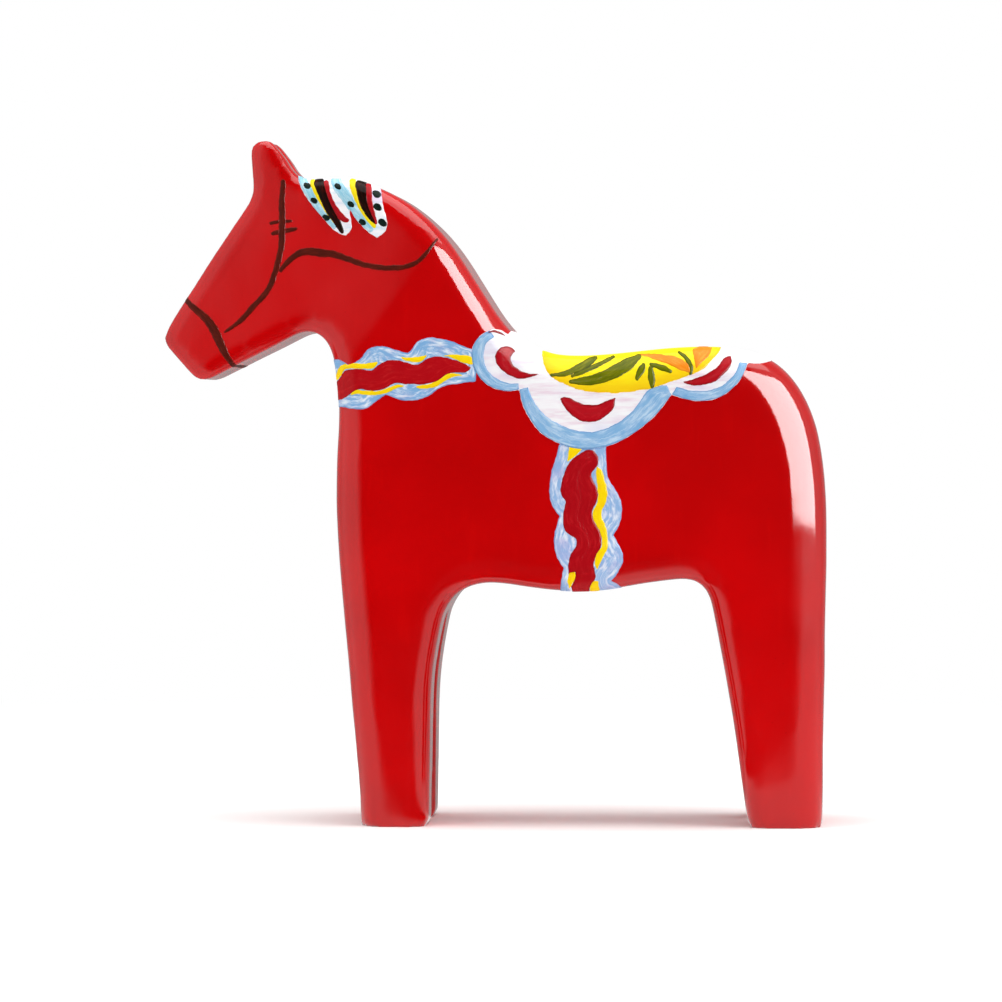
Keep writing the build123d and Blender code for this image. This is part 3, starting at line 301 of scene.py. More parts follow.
SADDLE_BLUE = [
    [
        (-0.36, 93.69, CORNER), *FRONT_LOBE, FRONT_NOTCH, (5.10, 83.69, CORNER),
        (2.93, 83.86), (0.86, 84.73), (-0.64, 86.23), (-1.34, 87.92), (-1.39, 89.80),
        (-0.83, 91.30), (0.49, 92.43, CORNER),
    ],
    [
        FRONT_NOTCH, *MIDDLE_LOBE, REAR_NOTCH, (32.99, 83.41, CORNER), (29.80, 82.70),
        (28.24, 80.92), (26.67, 78.72), (24.49, 76.84), (21.98, 75.43), (18.86, 74.64),
        (15.72, 74.96), (12.90, 75.99), (10.40, 77.55), (8.58, 79.52), (7.45, 81.53),
        (7.00, 83.04, CORNER),
    ],
    [
        REAR_NOTCH, *REAR_LOBE, REAR_TIP, (46.57, 87.61, CORNER), (45.92, 85.94),
        (44.42, 84.16), (42.36, 82.85), (39.55, 82.29), (36.74, 82.55),
        (34.77, 83.13, CORNER),
    ],
]
# Front, middle and rear petal.
SADDLE_PETALS = [
    [
        (3.03, 90.61), (3.97, 90.32), (4.47, 89.65, CORNER), (3.67, 88.77), (3.82, 87.49),
        (4.76, 86.55), (6.32, 85.80), (8.82, 85.44, CORNER), (7.26, 84.82), (5.06, 84.60),
        (3.18, 85.29), (1.62, 86.55), (0.83, 87.79), (0.83, 89.37), (1.62, 90.40),
    ],
    [
        (12.80, 80.91, CORNER), (13.65, 81.18), (15.15, 80.78), (16.85, 80.03),
        (18.54, 79.66), (20.41, 79.94), (22.01, 80.60), (23.31, 81.05, CORNER),
        (23.14, 79.47), (22.11, 78.06), (20.60, 76.94), (18.73, 76.43), (17.03, 76.61),
        (15.34, 77.52), (13.84, 79.00),
    ],
    [
        (35.95, 83.97, CORNER), (38.56, 84.76), (40.73, 85.70), (42.60, 87.07),
        (44.17, 88.68), (45.05, 88.85, CORNER), (45.07, 87.35), (43.67, 85.47),
        (41.71, 83.94), (39.18, 83.34), (37.30, 83.37),
    ],
]
SADDLE_FLOWER = [
    (9.14, 92.24, CORNER), (9.33, 89.42), (9.80, 87.17), (10.92, 85.20), (12.90, 83.90),
    (15.34, 82.85), (17.97, 82.15), (20.98, 81.91), (24.54, 81.91), (27.92, 82.36),
    (30.17, 82.77), (32.99, 83.71), (35.80, 84.69), (37.67, 85.34), (39.36, 86.04),
    (41.23, 87.78), (43.11, 89.97, CORNER), (43.66, 93.34, CORNER),
]
ORANGE_PATCH = [
    (37.67, 89.97, CORNER), (39.17, 90.63), (41.42, 90.35, CORNER), (40.86, 88.85),
    (39.55, 87.54), (38.42, 86.50, CORNER), (38.05, 88.29),
]


# ------------------------------------------------------------------ flat geometry
def natural_slopes(knots, values):
    """Slopes of a natural cubic spline at its knots."""
    count = len(knots)
    gap = np.diff(knots)
    matrix = np.zeros((count, count))
    right = np.zeros((count, values.shape[1]))
    matrix[0, 0], matrix[0, 1] = 2.0, 1.0
    right[0] = 3.0 * (values[1] - values[0]) / gap[0]
    matrix[-1, -1], matrix[-1, -2] = 2.0, 1.0
    right[-1] = 3.0 * (values[-1] - values[-2]) / gap[-1]
    for i in range(1, count - 1):
        before, after = gap[i - 1], gap[i]
        matrix[i, i - 1], matrix[i, i], matrix[i, i + 1] = after, 2 * (before + after), before
        rise_before = after * (values[i] - values[i - 1]) / before
        rise_after = before * (values[i + 1] - values[i]) / after
        right[i] = 3.0 * (rise_before + rise_after)
    return np.linalg.solve(matrix, right)


def spline(points, step):
    """Points about one step apart on a smooth curve through the given ones."""
    points = np.array(points, float)
    chords = np.hypot(*np.diff(points[:, :2], axis=0).T)
    knots = np.concatenate([[0.0], np.cumsum(chords)])
    if len(points) == 2:
        count = max(2, int(knots[-1] / step) + 1)
        return points[0] + (points[1] - points[0]) * np.linspace(0, 1, count)[:, None]
    slopes = natural_slopes(knots, points)
    samples = np.linspace(0.0, knots[-1], max(4, int(knots[-1] / step) + 1))
    i = np.clip(np.searchsorted(knots, samples, side="right") - 1, 0, len(knots) - 2)
    gap = (knots[i + 1] - knots[i])[:, None]
    u = ((samples - knots[i])[:, None]) / gap
    return (
        (2 * u**3 - 3 * u**2 + 1) * points[i]
        + (u**3 - 2 * u**2 + u) * slopes[i] * gap
        + (-2 * u**3 + 3 * u**2) * points[i + 1]
        + (u**3 - u**2) * slopes[i + 1] * gap
    )


def stroke_loop(stations):
    """The outline of a brush mark with round ends."""
    dense = spline(stations, 0.25)
    middle, half = dense[:, :2], np.maximum(dense[:, 2:3], 0.05)
    along = np.gradient(middle, axis=0)
    along /= np.linalg.norm(along, axis=1, keepdims=True)
    across = np.column_stack([-along[:, 1], along[:, 0]])

    def cap(end, forward, sideways):
        angles = np.radians([60, 30, 0, -30, -60])
        return [
            middle[end] + half[end] * (forward * math.cos(a) + sideways * math.sin(a))
            for a in angles
        ]

    left, right = middle + across * half, middle - across * half
    tail_cap = cap(0, -along[0], -across[0])
    return np.vstack([left, cap(-1, along[-1], across[-1]), right[::-1], tail_cap])


def patch_loop(points):
    """The outline of a patch, smooth between its marked corners."""
    first = next(i for i, p in enumerate(points) if len(p) > 2)
    turned = points[first:] + points[:first] + [points[first]]
    marks = [i for i, p in enumerate(turned) if len(p) > 2]
    runs = []
    for start, end in zip(marks[:-1], marks[1:]):
        runs.append(spline([p[:2] for p in turned[start : end + 1]], 0.3)[:-1])
    return np.vstack(runs)


class Shape:
    """A closed outline in the side view, with signed distance (inside positive)."""

    REACH = 2.5  # distances are worked out only this near the outline
    CHUNK = 4000  # points handled at once, to bound memory

    def __init__(self, loop):
        ends = np.roll(loop, -1, axis=0)
        length = np.linalg.norm(ends - loop, axis=1)
        keep = length > 1e-6
        self.start, self.end, self.length = loop[keep], ends[keep], length[keep]
        self.run = np.concatenate([[0.0], np.cumsum(self.length)[:-1]])
        self.low, self.high = loop.min(axis=0), loop.max(axis=0)

    def distance(self, points):
        """Signed distance of each point, and how far along the outline its nearest place is."""
        depth = np.full(len(points), -self.REACH)
        run = np.zeros(len(points))
        in_reach = (points > self.low - self.REACH) & (points < self.high + self.REACH)
        near = np.nonzero(np.all(in_reach, axis=1))[0]
        start, end = self.start, self.end
        segment = end - start
        for first in range(0, len(near), self.CHUNK):
            chunk = near[first : first + self.CHUNK]
            q = points[chunk][:, None, :]
            u = np.clip(np.sum((q - start) * segment, axis=2) / self.length**2, 0, 1)
            gap = q - (start + u[:, :, None] * segment)
            dist = np.sqrt(np.sum(gap**2, axis=2))
            nearest = dist.argmin(axis=1)
            rows = np.arange(len(chunk))
            # A ray toward +x crosses the outline an odd number of times from inside.
            z0, z1 = start[:, 1][None, :], end[:, 1][None, :]
            spans = (z0 > q[:, :, 1]) != (z1 > q[:, :, 1])
            with np.errstate(divide="ignore", invalid="ignore"):
                hit = start[:, 0] + (q[:, :, 1] - z0) / (z1 - z0) * (end[:, 0] - start[:, 0])
            odd = np.sum(spans & (q[:, :, 0] < hit), axis=1) % 2 == 1
            closest = dist[rows, nearest]
            depth[chunk] = np.where(odd, closest, -closest)
            run[chunk] = self.run[nearest] + u[rows, nearest] * self.length[nearest]
        return depth, run


def strokes(*paths):
    return [Shape(stroke_loop(path)) for path in paths]


def patches(*outlines):
    return [Shape(patch_loop(outline)) for outline in outlines]


def union(shapes, points):
    """Signed distance and run for several shapes taken together."""
    run_offset = 37.0  # sets the shapes' runs apart, so their brush hairs differ
    best, run = shapes[0].distance(points)
    for i, shape in enumerate(shapes[1:]):
        depth, own_run = shape.distance(points)
        better = depth > best
        best = np.where(better, depth, best)
        run = np.where(better, own_run + run_offset * (i + 1), run)
    return best, run


# ------------------------------------------------------------------ mesh helpers
def fetch(items, key, width=1, dtype=float):
    values = np.empty(len(items) * width, dtype=dtype)
    items.foreach_get(key, values)
    return values


def read_mesh(mesh):
    """Points, normals and quads; a triangle becomes a quad that repeats its last corner."""
    points = fetch(mesh.vertices, "co", 3).reshape(-1, 3)
    normals = fetch(mesh.vertices, "normal", 3).reshape(-1, 3)
    loops = fetch(mesh.loops, "vertex_index", dtype=np.int64)
    start = fetch(mesh.polygons, "loop_start", dtype=np.int64)
    total = fetch(mesh.polygons, "loop_total", dtype=np.int64)
    four = loops[start[total == 4][:, None] + np.arange(4)]
    three = loops[start[total == 3][:, None] + np.arange(3)]
    return points, normals, np.vstack([four, np.column_stack([three, three[:, 2]])])


def write_mesh(name, points, face_groups, attributes=None):
    """A smooth-shaded mesh object; each face group is an (n, 3) or (n, 4) array."""
    mesh = bpy.data.meshes.new(name)
    mesh.vertices.add(len(points))
    mesh.vertices.foreach_set("co", np.ascontiguousarray(points, dtype=np.float32).ravel())
    loops = np.concatenate([g.ravel() for g in face_groups]).astype(np.int32)
    total = np.concatenate([np.full(len(g), g.shape[1]) for g in face_groups])
    total = total.astype(np.int32)
    start = np.concatenate([[0], np.cumsum(total)[:-1]]).astype(np.int32)
    mesh.loops.add(len(loops))
    mesh.loops.foreach_set("vertex_index", loops)
    mesh.polygons.add(len(total))
    mesh.polygons.foreach_set("loop_start", start)
    mesh.polygons.foreach_set("loop_total", total)
    mesh.polygons.foreach_set("use_smooth", np.ones(len(total), dtype=bool))
    mesh.update(calc_edges=True)
    mesh.validate()
    for key, values in (attributes or {}).items():
        layer = mesh.attributes.new(key, "FLOAT", "POINT")
        layer.data.foreach_set("value", np.ascontiguousarray(values, dtype=np.float32))
    obj = bpy.data.objects.new(name, mesh)
    bpy.context.scene.collection.objects.link(obj)
    return obj


def applied(obj):
    """A new mesh with the object's modifiers applied."""
    depsgraph = bpy.context.evaluated_depsgraph_get()
    return bpy.data.meshes.new_from_object(obj.evaluated_get(depsgraph))


def face_vectors(points, quads):
    """Cross product of each quad's diagonals, which points along its normal."""
    return np.cross(
        points[quads[:, 2]] - points[quads[:, 0]], points[quads[:, 3]] - points[quads[:, 1]]
    )


def unit(vectors, least=1e-20):
    return vectors / np.maximum(np.linalg.norm(vectors, axis=1, keepdims=True), least)


def vertex_normals(points, quads):
    normals = np.zeros_like(points)
    vectors = face_vectors(points, quads)
    for k in range(4):
        np.add.at(normals, quads[:, k], vectors)
    return unit(normals)


def compacted(faces):
    """The vertex numbers in use, and the faces renumbered to match them."""
    used, local = np.unique(faces, return_inverse=True)
    return used, local.reshape(faces.shape)


def boundary(faces):
    """Directed edges used by one face only."""
    sides = faces.shape[1]
    edges = np.vstack(
        [np.column_stack([faces[:, i], faces[:, (i + 1) % sides]]) for i in range(sides)]
    )
    edges = edges[edges[:, 0] != edges[:, 1]]
    key = np.sort(edges, axis=1)
    _, inverse, count = np.unique(key, axis=0, return_inverse=True, return_counts=True)
    return edges[count[inverse.ravel()] == 1]


def sheet_faces(faces, count):
    """Closes a sheet: upper faces, lower faces (numbered count later) and the edge wall."""
    rim = boundary(faces)
    wall = np.column_stack([rim[:, 1], rim[:, 0], rim[:, 0] + count, rim[:, 1] + count])
    return [faces, faces[:, ::-1] + count, wall]


def stand_in(obj, node):
    """Hides a CAD node and puts an object under the root body in its place."""
    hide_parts(node)
    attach(obj, "root")
    return obj


# ------------------------------------------------------------------ carved wood and red coat
# Slow waves left by the knife: (height mm, waves per metre, noise offset).
KNIFE_WAVES = [(0.13, 62.0, (3.1, 7.7, 1.3)), (0.035, 150.0, (9.1, 2.7, 5.3))]
# The flattened face: the cut starts where FACE_X * x + FACE_Z * z passes FACE_START, mm,
# eases in over FACE_EASE and deepens by FACE_SLOPE at FACE_HALF_WIDTH from the middle.
FACE_X, FACE_Z, FACE_START, FACE_EASE = -0.8, 0.6, 101.0, 2.0
FACE_SLOPE, FACE_HALF_WIDTH = 0.045, 16.0


def remeshed_body():
    """The CAD body with even quads and softened edges."""
    work = bpy.data.objects.new("work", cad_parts["pine_body"].data.copy())
    bpy.context.scene.collection.objects.link(work)
    voxel = work.modifiers.new("voxel", "REMESH")
    voxel.mode = "VOXEL"
    voxel.voxel_size = VOXEL
    voxel.adaptivity = 0.0
    relax = work.modifiers.new("relax", "SMOOTH")
    relax.factor = 0.5
    relax.iterations = 2
    mesh = applied(work)
    bpy.data.objects.remove(work, do_unlink=True)
    return read_mesh(mesh)


def carved_body():
    """Points and quads of the bare wood."""
    points, normals, quads = remeshed_body()

    # The face narrows toward the nose.
    past = FACE_X * points[:, 0] / MM + FACE_Z * points[:, 2] / MM - FACE_START
    cut = FACE_SLOPE * (np.sqrt(past**2 + FACE_EASE**2) + past) / 2
    points[:, 1] *= 1.0 - cut / FACE_HALF_WIDTH

    # Soles stay flat on the floor.
    foot = points[:, 2] < 0.45 * MM
    points[foot, 2] = np.where(normals[foot, 2] < -0.35, 0.0, points[foot, 2])
    points[:, 2] = np.maximum(points[:, 2], 0.0)

    # Knife waves fade out toward the soles.
    wave = np.zeros(len(points))
    for height, frequency, offset in KNIFE_WAVES:
        wave += [height * noise.noise(Vector(p)) for p in points * frequency + offset]
    wave = wave * np.clip((points[:, 2] - 0.5 * MM) / (4 * MM), 0, 1)
    points = points + vertex_normals(points, quads) * (wave * MM)[:, None]
    points[:, 2] = np.maximum(points[:, 2], 0.0)
    return points, quads


def coat_directions(points, quads):
    """Outward directions, turned level near the soles so the coat drops straight down."""
    outward = vertex_normals(points, quads)
    low = points[:, 2] < 0.4 * MM
    level = outward[low].copy()
    level[:, 2] = 0.0
    size = np.linalg.norm(level, axis=1, keepdims=True)
    outward[low] = np.where(size > 0.2, level / np.maximum(size, 1e-9), outward[low])
    return outward


def sole_faces(points, quads):
    """True for the faces that rest on the floor."""
    top = points[quads][:, :, 2].max(axis=1)
    return (top < 0.05 * MM) & (unit(face_vectors(points, quads))[:, 2] < -0.7)


wood_points, quads = carved_body()
sole = sole_faces(wood_points, quads)
outward = coat_directions(wood_points, quads)
skin_points = wood_points + outward * COAT_THICKNESS
skin_points[:, 2] = np.maximum(skin_points[:, 2], 0.0)
skin_points = np.clip(skin_points, np.array(CAD_BOX[0]), np.array(CAD_BOX[1]))


def red_coat():
    """The red paint shell, open at the soles."""
    used, shell = compacted(quads[~sole])
    inner = wood_points[used] + outward[used] * COAT_UNDERSIDE
    inner[:, 2] = np.maximum(inner[:, 2], 0.0)
    points = np.vstack([skin_points[used], inner])
    return write_mesh("red_ground_coat_skin", points, sheet_faces(shell, len(used)))


wood = stand_in(write_mesh("pine_body_carved", wood_points, [quads]), "pine_body")
coat = stand_in(red_coat(), "red_ground_coat")


# ------------------------------------------------------------------ paint films
def refined(faces, levels):
    """The given skin faces, smoothed to a finer mesh."""
    used, local = compacted(faces)
    obj = write_mesh("patch", skin_points[used], [local])
    fine = obj.modifiers.new("fine", "SUBSURF")
    fine.levels = levels
    fine.render_levels = levels
    mesh = applied(obj)
    result = read_mesh(mesh)
    coarse = obj.data
    bpy.data.objects.remove(obj, do_unlink=True)
    bpy.data.meshes.remove(coarse)
    bpy.data.meshes.remove(mesh)
    return result


def clip_triangles(triangles, depth, fields):
    """Cuts triangles where depth is 0 and keeps the inside. Fields hold values per vertex."""
    inside = depth > 0
    corners_in = inside[triangles].sum(axis=1)

    def led_by(block, odd):
        """Turns each triangle so that its odd corner comes first."""
        first = odd.argmax(axis=1)
        rows = np.arange(len(block))
        return np.column_stack([block[rows, (first + k) % 3] for k in range(3)])

    one = triangles[corners_in == 1]
    one = led_by(one, inside[one])
    two = triangles[corners_in == 2]
    two = led_by(two, ~inside[two])
    crossed = np.vstack([one[:, [0, 1]], one[:, [0, 2]], two[:, [0, 1]], two[:, [0, 2]]])
    edges, inverse = np.unique(np.sort(crossed, axis=1), axis=0, return_inverse=True)
    cuts = np.split(
        inverse.ravel() + len(depth), [len(one), 2 * len(one), 2 * len(one) + len(two)]
    )
    faces = np.vstack([
        triangles[corners_in == 3],
        np.column_stack([one[:, 0], cuts[0], cuts[1]]),
        np.column_stack([cuts[2], two[:, 1], two[:, 2]]),
        np.column_stack([cuts[2], two[:, 2], cuts[3]]),
    ])
    start, end = edges[:, 0], edges[:, 1]
    share = (depth[start] / (depth[start] - depth[end]))[:, None]
    used, local = compacted(faces)
    mixed = []
    for field in fields:
        table = field if field.ndim == 2 else field[:, None]
        on_cut = table[start] * (1 - share) + table[end] * share
        mixed.append(np.vstack([table, on_cut])[used])
    return local, np.concatenate([depth, np.zeros(len(edges))])[used], mixed


# Uneven edges: (amplitude mm, x frequency, z frequency, phase factor).
WOBBLES = [(0.035, 1.9, 1.1, 1.0), (0.030, -2.3, 3.7, 2.1), (0.022, 5.3, 4.1, 0.7)]


def wobble(points, side, phase):
    """Small in and out wander of a film's edge, different on each flank."""
    x, z = points[:, 0] + 11.0 * side, points[:, 1] + 5.0 * side
    return sum(size * np.sin(fx * x + fz * z + fp * phase) for size, fx, fz, fp in WOBBLES)


def film(node, marks, layer, phase, within=None, clear_of=None, levels=2, grow=0.0, body=1.0):
    """A thin coat of colour draped on the skin inside the marks.

    It stays within one set of shapes and clear of another; grow widens the marks (mm) and
    body is the share of the layer's thickness that the film fills.
    """
    low = np.min([s.low for s in marks], axis=0) - 2.0
    high = np.max([s.high for s in marks], axis=0) + 2.0
    centre = (skin_points[quads].mean(axis=1) / MM)[:, [0, 2]]
    near = np.nonzero(np.all((centre > low) & (centre < high), axis=1) & ~sole)[0]
    depth, _ = union(marks, centre[near])
    points, normals, faces = refined(quads[near[depth > -1.8]], levels)

    flat = points[:, [0, 2]] / MM
    edge, run = union(marks, flat)
    side = np.sign(points[:, 1])
    edge = edge + grow + wobble(flat, side, phase)
    depth = edge
    if within is not None:
        depth = np.minimum(depth, union(within, flat)[0] - INSET)
    if clear_of is not None:
        depth = np.minimum(depth, -union(clear_of, flat)[0] + OVERLAP)
    # Points almost on the edge move inside, so that no sliver triangles are cut.
    depth = np.where(np.abs(depth) < 0.006, 0.006, depth)
    triangles = np.vstack([faces[:, [0, 1, 2]], faces[:, [0, 2, 3]]])
    triangles, depth, (points, normals, edge, run, side) = clip_triangles(
        triangles, depth, [points, normals, edge, run, side]
    )
    normals = unit(normals, 1e-12)

    floor, top = LAYERS[layer]
    rise = np.sqrt(1 - (1 - np.clip(depth / BEAD_WIDTH, 0, 1)) ** 2)
    height = floor + EDGE_HEIGHT + body * (top - floor - EDGE_HEIGHT) * rise
    upper = points + normals * (height * MM)[:, None]
    under = points + normals * ((floor - FILM_SINK) * MM)
    values = {"edge": edge, "rim": depth, "run": run, "flank": side}
    obj = write_mesh(
        node + "_film",
        np.vstack([upper, under]),
        sheet_faces(triangles, len(points)),
        {key: np.tile(value.ravel(), 2) for key, value in values.items()},
    )
    return stand_in(obj, node)


strap = strokes(CHEEK_STRAP)
mane = patches(*MANE_LOCKS)
dots = strokes(*MANE_DOTS)
mane_brown = strokes(*MANE_BROWN)
mane_crimson = strokes(*MANE_CRIMSON)
mane_yellow = strokes(*MANE_YELLOW)
saddle = patches(SADDLE_GROUND)
petals = patches(*SADDLE_PETALS) + strokes(SADDLE_CURL)
flower = patches(SADDLE_FLOWER)
green = strokes(*SADDLE_GREEN)
collar = patches(COLLAR_BAND)
collar_crimson = patches(COLLAR_CRIMSON)
girth = patches(GIRTH_BAND)
girth_yellow = patches(*GIRTH_YELLOW_PATCHES) + strokes(GIRTH_YELLOW_REAR)

# In build order; a film's place in the table also sets the phase of its edge wobble.
FILMS = {
    "cheek_strap_stroke": dict(marks=strap, layer=1, body=0.5),
    "brow_tick_strokes": dict(marks=strokes(*BROW_TICKS), layer=1, body=0.5, clear_of=strap),
    "rein_stroke": dict(marks=strokes(REIN), layer=1, body=0.5, clear_of=strap),
    "noseband_stroke": dict(marks=strokes(NOSEBAND), layer=1, body=0.5),
    "mane_white_ground": dict(marks=mane, layer=1),
    "mane_black_dots": dict(marks=dots, layer=2, within=mane, grow=0.30),
    "mane_brown_strokes": dict(
        marks=mane_brown, layer=2, within=mane, clear_of=dots, grow=0.26),
    "mane_crimson_strokes": dict(
        marks=mane_crimson, layer=2, within=mane, clear_of=mane_brown + dots, grow=0.34),
    "mane_yellow_strokes": dict(
        marks=mane_yellow, layer=2, within=mane,
        clear_of=mane_brown + dots + mane_crimson, grow=0.24),
    "mane_blue_strokes": dict(
        marks=strokes(*MANE_BLUE), layer=2, within=mane,
        clear_of=mane_brown + dots + mane_yellow + mane_crimson, grow=0.30),
    "saddle_white_ground": dict(marks=saddle, layer=1, levels=1),
    "saddle_crimson_petals": dict(marks=petals, layer=2, within=saddle),
    "saddle_yellow_flower": dict(
        marks=flower, layer=2, within=saddle, clear_of=petals, levels=1),
    "saddle_blue_border": dict(
        marks=patches(*SADDLE_BLUE), layer=2, within=saddle, clear_of=petals + flower),
    "saddle_green_strokes": dict(marks=green, layer=3, within=flower, grow=0.22),
    "saddle_orange_strokes": dict(
        marks=strokes(ORANGE_STROKE) + patches(ORANGE_PATCH), layer=3,
        within=flower, clear_of=green),
    "collar_blue_scallops": dict(marks=collar, layer=1, clear_of=saddle),
    "collar_crimson_centre": dict(
        marks=collar_crimson, layer=2, within=collar, clear_of=saddle),
    "collar_yellow_lines": dict(
        marks=strokes(*COLLAR_YELLOW), layer=2, within=collar,
        clear_of=collar_crimson + saddle),
    "girth_blue_edging": dict(marks=girth, layer=1, clear_of=saddle),
    "girth_yellow_lines": dict(marks=girth_yellow, layer=2, within=girth, clear_of=saddle),
    "girth_crimson_centre": dict(
        marks=patches(GIRTH_CRIMSON), layer=2, within=girth, clear_of=girth_yellow + saddle),
}
films = {
    node: film(node, phase=phase, **recipe)
    for phase, (node, recipe) in enumerate(FILMS.items(), start=1)
}


# ------------------------------------------------------------------ shader helpers
def srgb(code):
    """Linear RGBA from a hex colour."""
    channels = [int(code[i : i + 2], 16) / 255 for i in (0, 2, 4)]
    linear = (c / 12.92 if c <= 0.04045 else ((c + 0.055) / 1.055) ** 2.4 for c in channels)
    return tuple(linear) + (1.0,)


class Graph:
    """Wires shader nodes. Any value may be a socket, a number or a hex colour."""

    def __init__(self, tree):
        self.tree = tree
        tree.nodes.clear()

    def feed(self, socket, value):
        if isinstance(value, bpy.types.NodeSocket):
            self.tree.links.new(value, socket)
        else:
            socket.default_value = srgb(value) if isinstance(value, str) else value

    def add(self, kind, inputs=None, **settings):
        node = self.tree.nodes.new("ShaderNode" + kind)
        for key, value in settings.items():
            setattr(node, key, value)
        for key, value in (inputs or {}).items():
            self.feed(node.inputs[key], value)
        return node

    def math(self, operation, a, b):
        return self.add("Math", {0: a, 1: b}, operation=operation).outputs[0]

    def times(self, a, b):
        return self.math("MULTIPLY", a, b)

    def ramp(self, value, span, to=(0.0, 1.0)):
        """Eases from to[0] to to[1] while the value crosses the span."""
        inputs = {
            "Value": value,
            "From Min": span[0], "From Max": span[1],
            "To Min": to[0], "To Max": to[1],
        }
        node = self.add("MapRange", inputs, interpolation_type="SMOOTHSTEP")
        return node.outputs["Result"]

    def mix(self, factor, a, b):
        """Mixes two colours; sockets 6 and 7 are the node's colour inputs."""
        return self.add("Mix", {0: factor, 6: a, 7: b}, data_type="RGBA").outputs[2]

    def tint(self, color, other, by, span, share=1.0):
        """Brings in up to a share of another colour while a texture crosses the span."""
        return self.mix(self.ramp(by, span, to=(0.0, share)), color, other)


class Paint(Graph):
    """A principled material."""

    def __init__(self, name, roughness, coat=0.22, specular=0.0):
        self.material = bpy.data.materials.new(name)
        self.material.use_nodes = True
        super().__init__(self.material.node_tree)
        self.out = self.add("OutputMaterial")
        self.bsdf = self.add("BsdfPrincipled", {
            "Roughness": roughness,
            "Coat Weight": coat,
            "Coat Roughness": 0.085,
            "Specular IOR Level": specular,
        })
        self.feed(self.out.inputs["Surface"], self.bsdf.outputs[0])

    @cached_property
    def place(self):
        return self.add("TexCoord").outputs["Object"]

    def attribute(self, name):
        return self.add("Attribute", attribute_name=name).outputs["Fac"]

    def vector(self, x, y, z):
        return self.add("CombineXYZ", {0: x, 1: y, 2: z}).outputs[0]

    def mapped(self, scale, turn=(0, 0, 0), shift=(0, 0, 0)):
        inputs = {"Vector": self.place, "Scale": scale, "Rotation": turn, "Location": shift}
        return self.add("Mapping", inputs).outputs[0]

    def noise(self, vector, detail, rough=0.55):
        inputs = {"Vector": vector, "Scale": 1.0, "Detail": detail, "Roughness": rough}
        return self.add("TexNoise", inputs).outputs["Fac"]

    def bump(self, height, depth, strength, over=None):
        """A bump of the given depth, mm, on top of an earlier one."""
        inputs = {"Strength": strength, "Distance": depth * MM, "Height": height}
        if over is not None:
            inputs["Normal"] = over
        return self.add("Bump", inputs).outputs[0]

    def finish(self, color, roughness=None, normal=None):
        links = {
            "Base Color": color, "Roughness": roughness, "Normal": normal, "Coat Normal": normal,
        }
        for key, value in links.items():
            if value is not None:
                self.feed(self.bsdf.inputs[key], value)
        return self.material


# ------------------------------------------------------------------ materials
# Noise scales are per metre along x, y and z.
def red_lacquer():
    p = Paint("red_lacquer", roughness=0.50, coat=1.0)
    broad = p.noise(p.mapped(scale=(38, 38, 38)), detail=2.0)
    brush = p.noise(p.mapped(scale=(520, 520, 60), turn=(0, 0.25, 0)), detail=3.0, rough=0.6)
    grain = p.noise(p.mapped(scale=(160, 160, 42), turn=(0, -0.06, 0)), detail=4.0, rough=0.6)
    peel = p.noise(p.mapped(scale=(900, 900, 900)), detail=2.0)
    speck = p.noise(p.mapped(scale=(2300, 2300, 2300)), detail=1.0)
    color = p.tint("B80002", "C80104", by=broad, span=(0.3, 0.7))
    color = p.tint(color, "D80A06", by=brush, span=(0.55, 0.8), share=0.2)
    color = p.tint(color, "8E0A0A", by=speck, span=(0.76, 0.80), share=0.5)
    rough = p.ramp(brush, span=(0.25, 0.8), to=(0.32, 0.42))
    normal = p.bump(grain, depth=0.07, strength=0.22)
    normal = p.bump(brush, depth=0.02, strength=0.25, over=normal)
    normal = p.bump(peel, depth=0.010, strength=0.30, over=normal)
    return p.finish(color, rough, normal)


def bare_pine():
    p = Paint("bare_pine", roughness=0.62, coat=0.0, specular=0.5)
    trunk = p.mapped(scale=(230, 230, 14), turn=(0.05, 0.03, 0), shift=(3.0, 9.5, 0.0))
    rings = p.add(
        "TexWave",
        {"Vector": trunk, "Scale": 1.0, "Distortion": 1.4, "Detail": 2.0},
        wave_type="RINGS",
        rings_direction="Z",
    ).outputs["Fac"]
    fibre = p.noise(p.mapped(scale=(1800, 1800, 90)), detail=3.0)
    color = p.tint("E3BE86", "B98447", by=rings, span=(0.1, 0.95))
    color = p.tint(color, "CFA468", by=fibre, span=(0.3, 0.8), share=0.45)
    normal = p.bump(fibre, depth=0.08, strength=0.4)
    normal = p.bump(rings, depth=0.06, strength=0.3, over=normal)
    return p.finish(color, p.ramp(fibre, span=(0.2, 0.8), to=(0.55, 0.72)), normal)


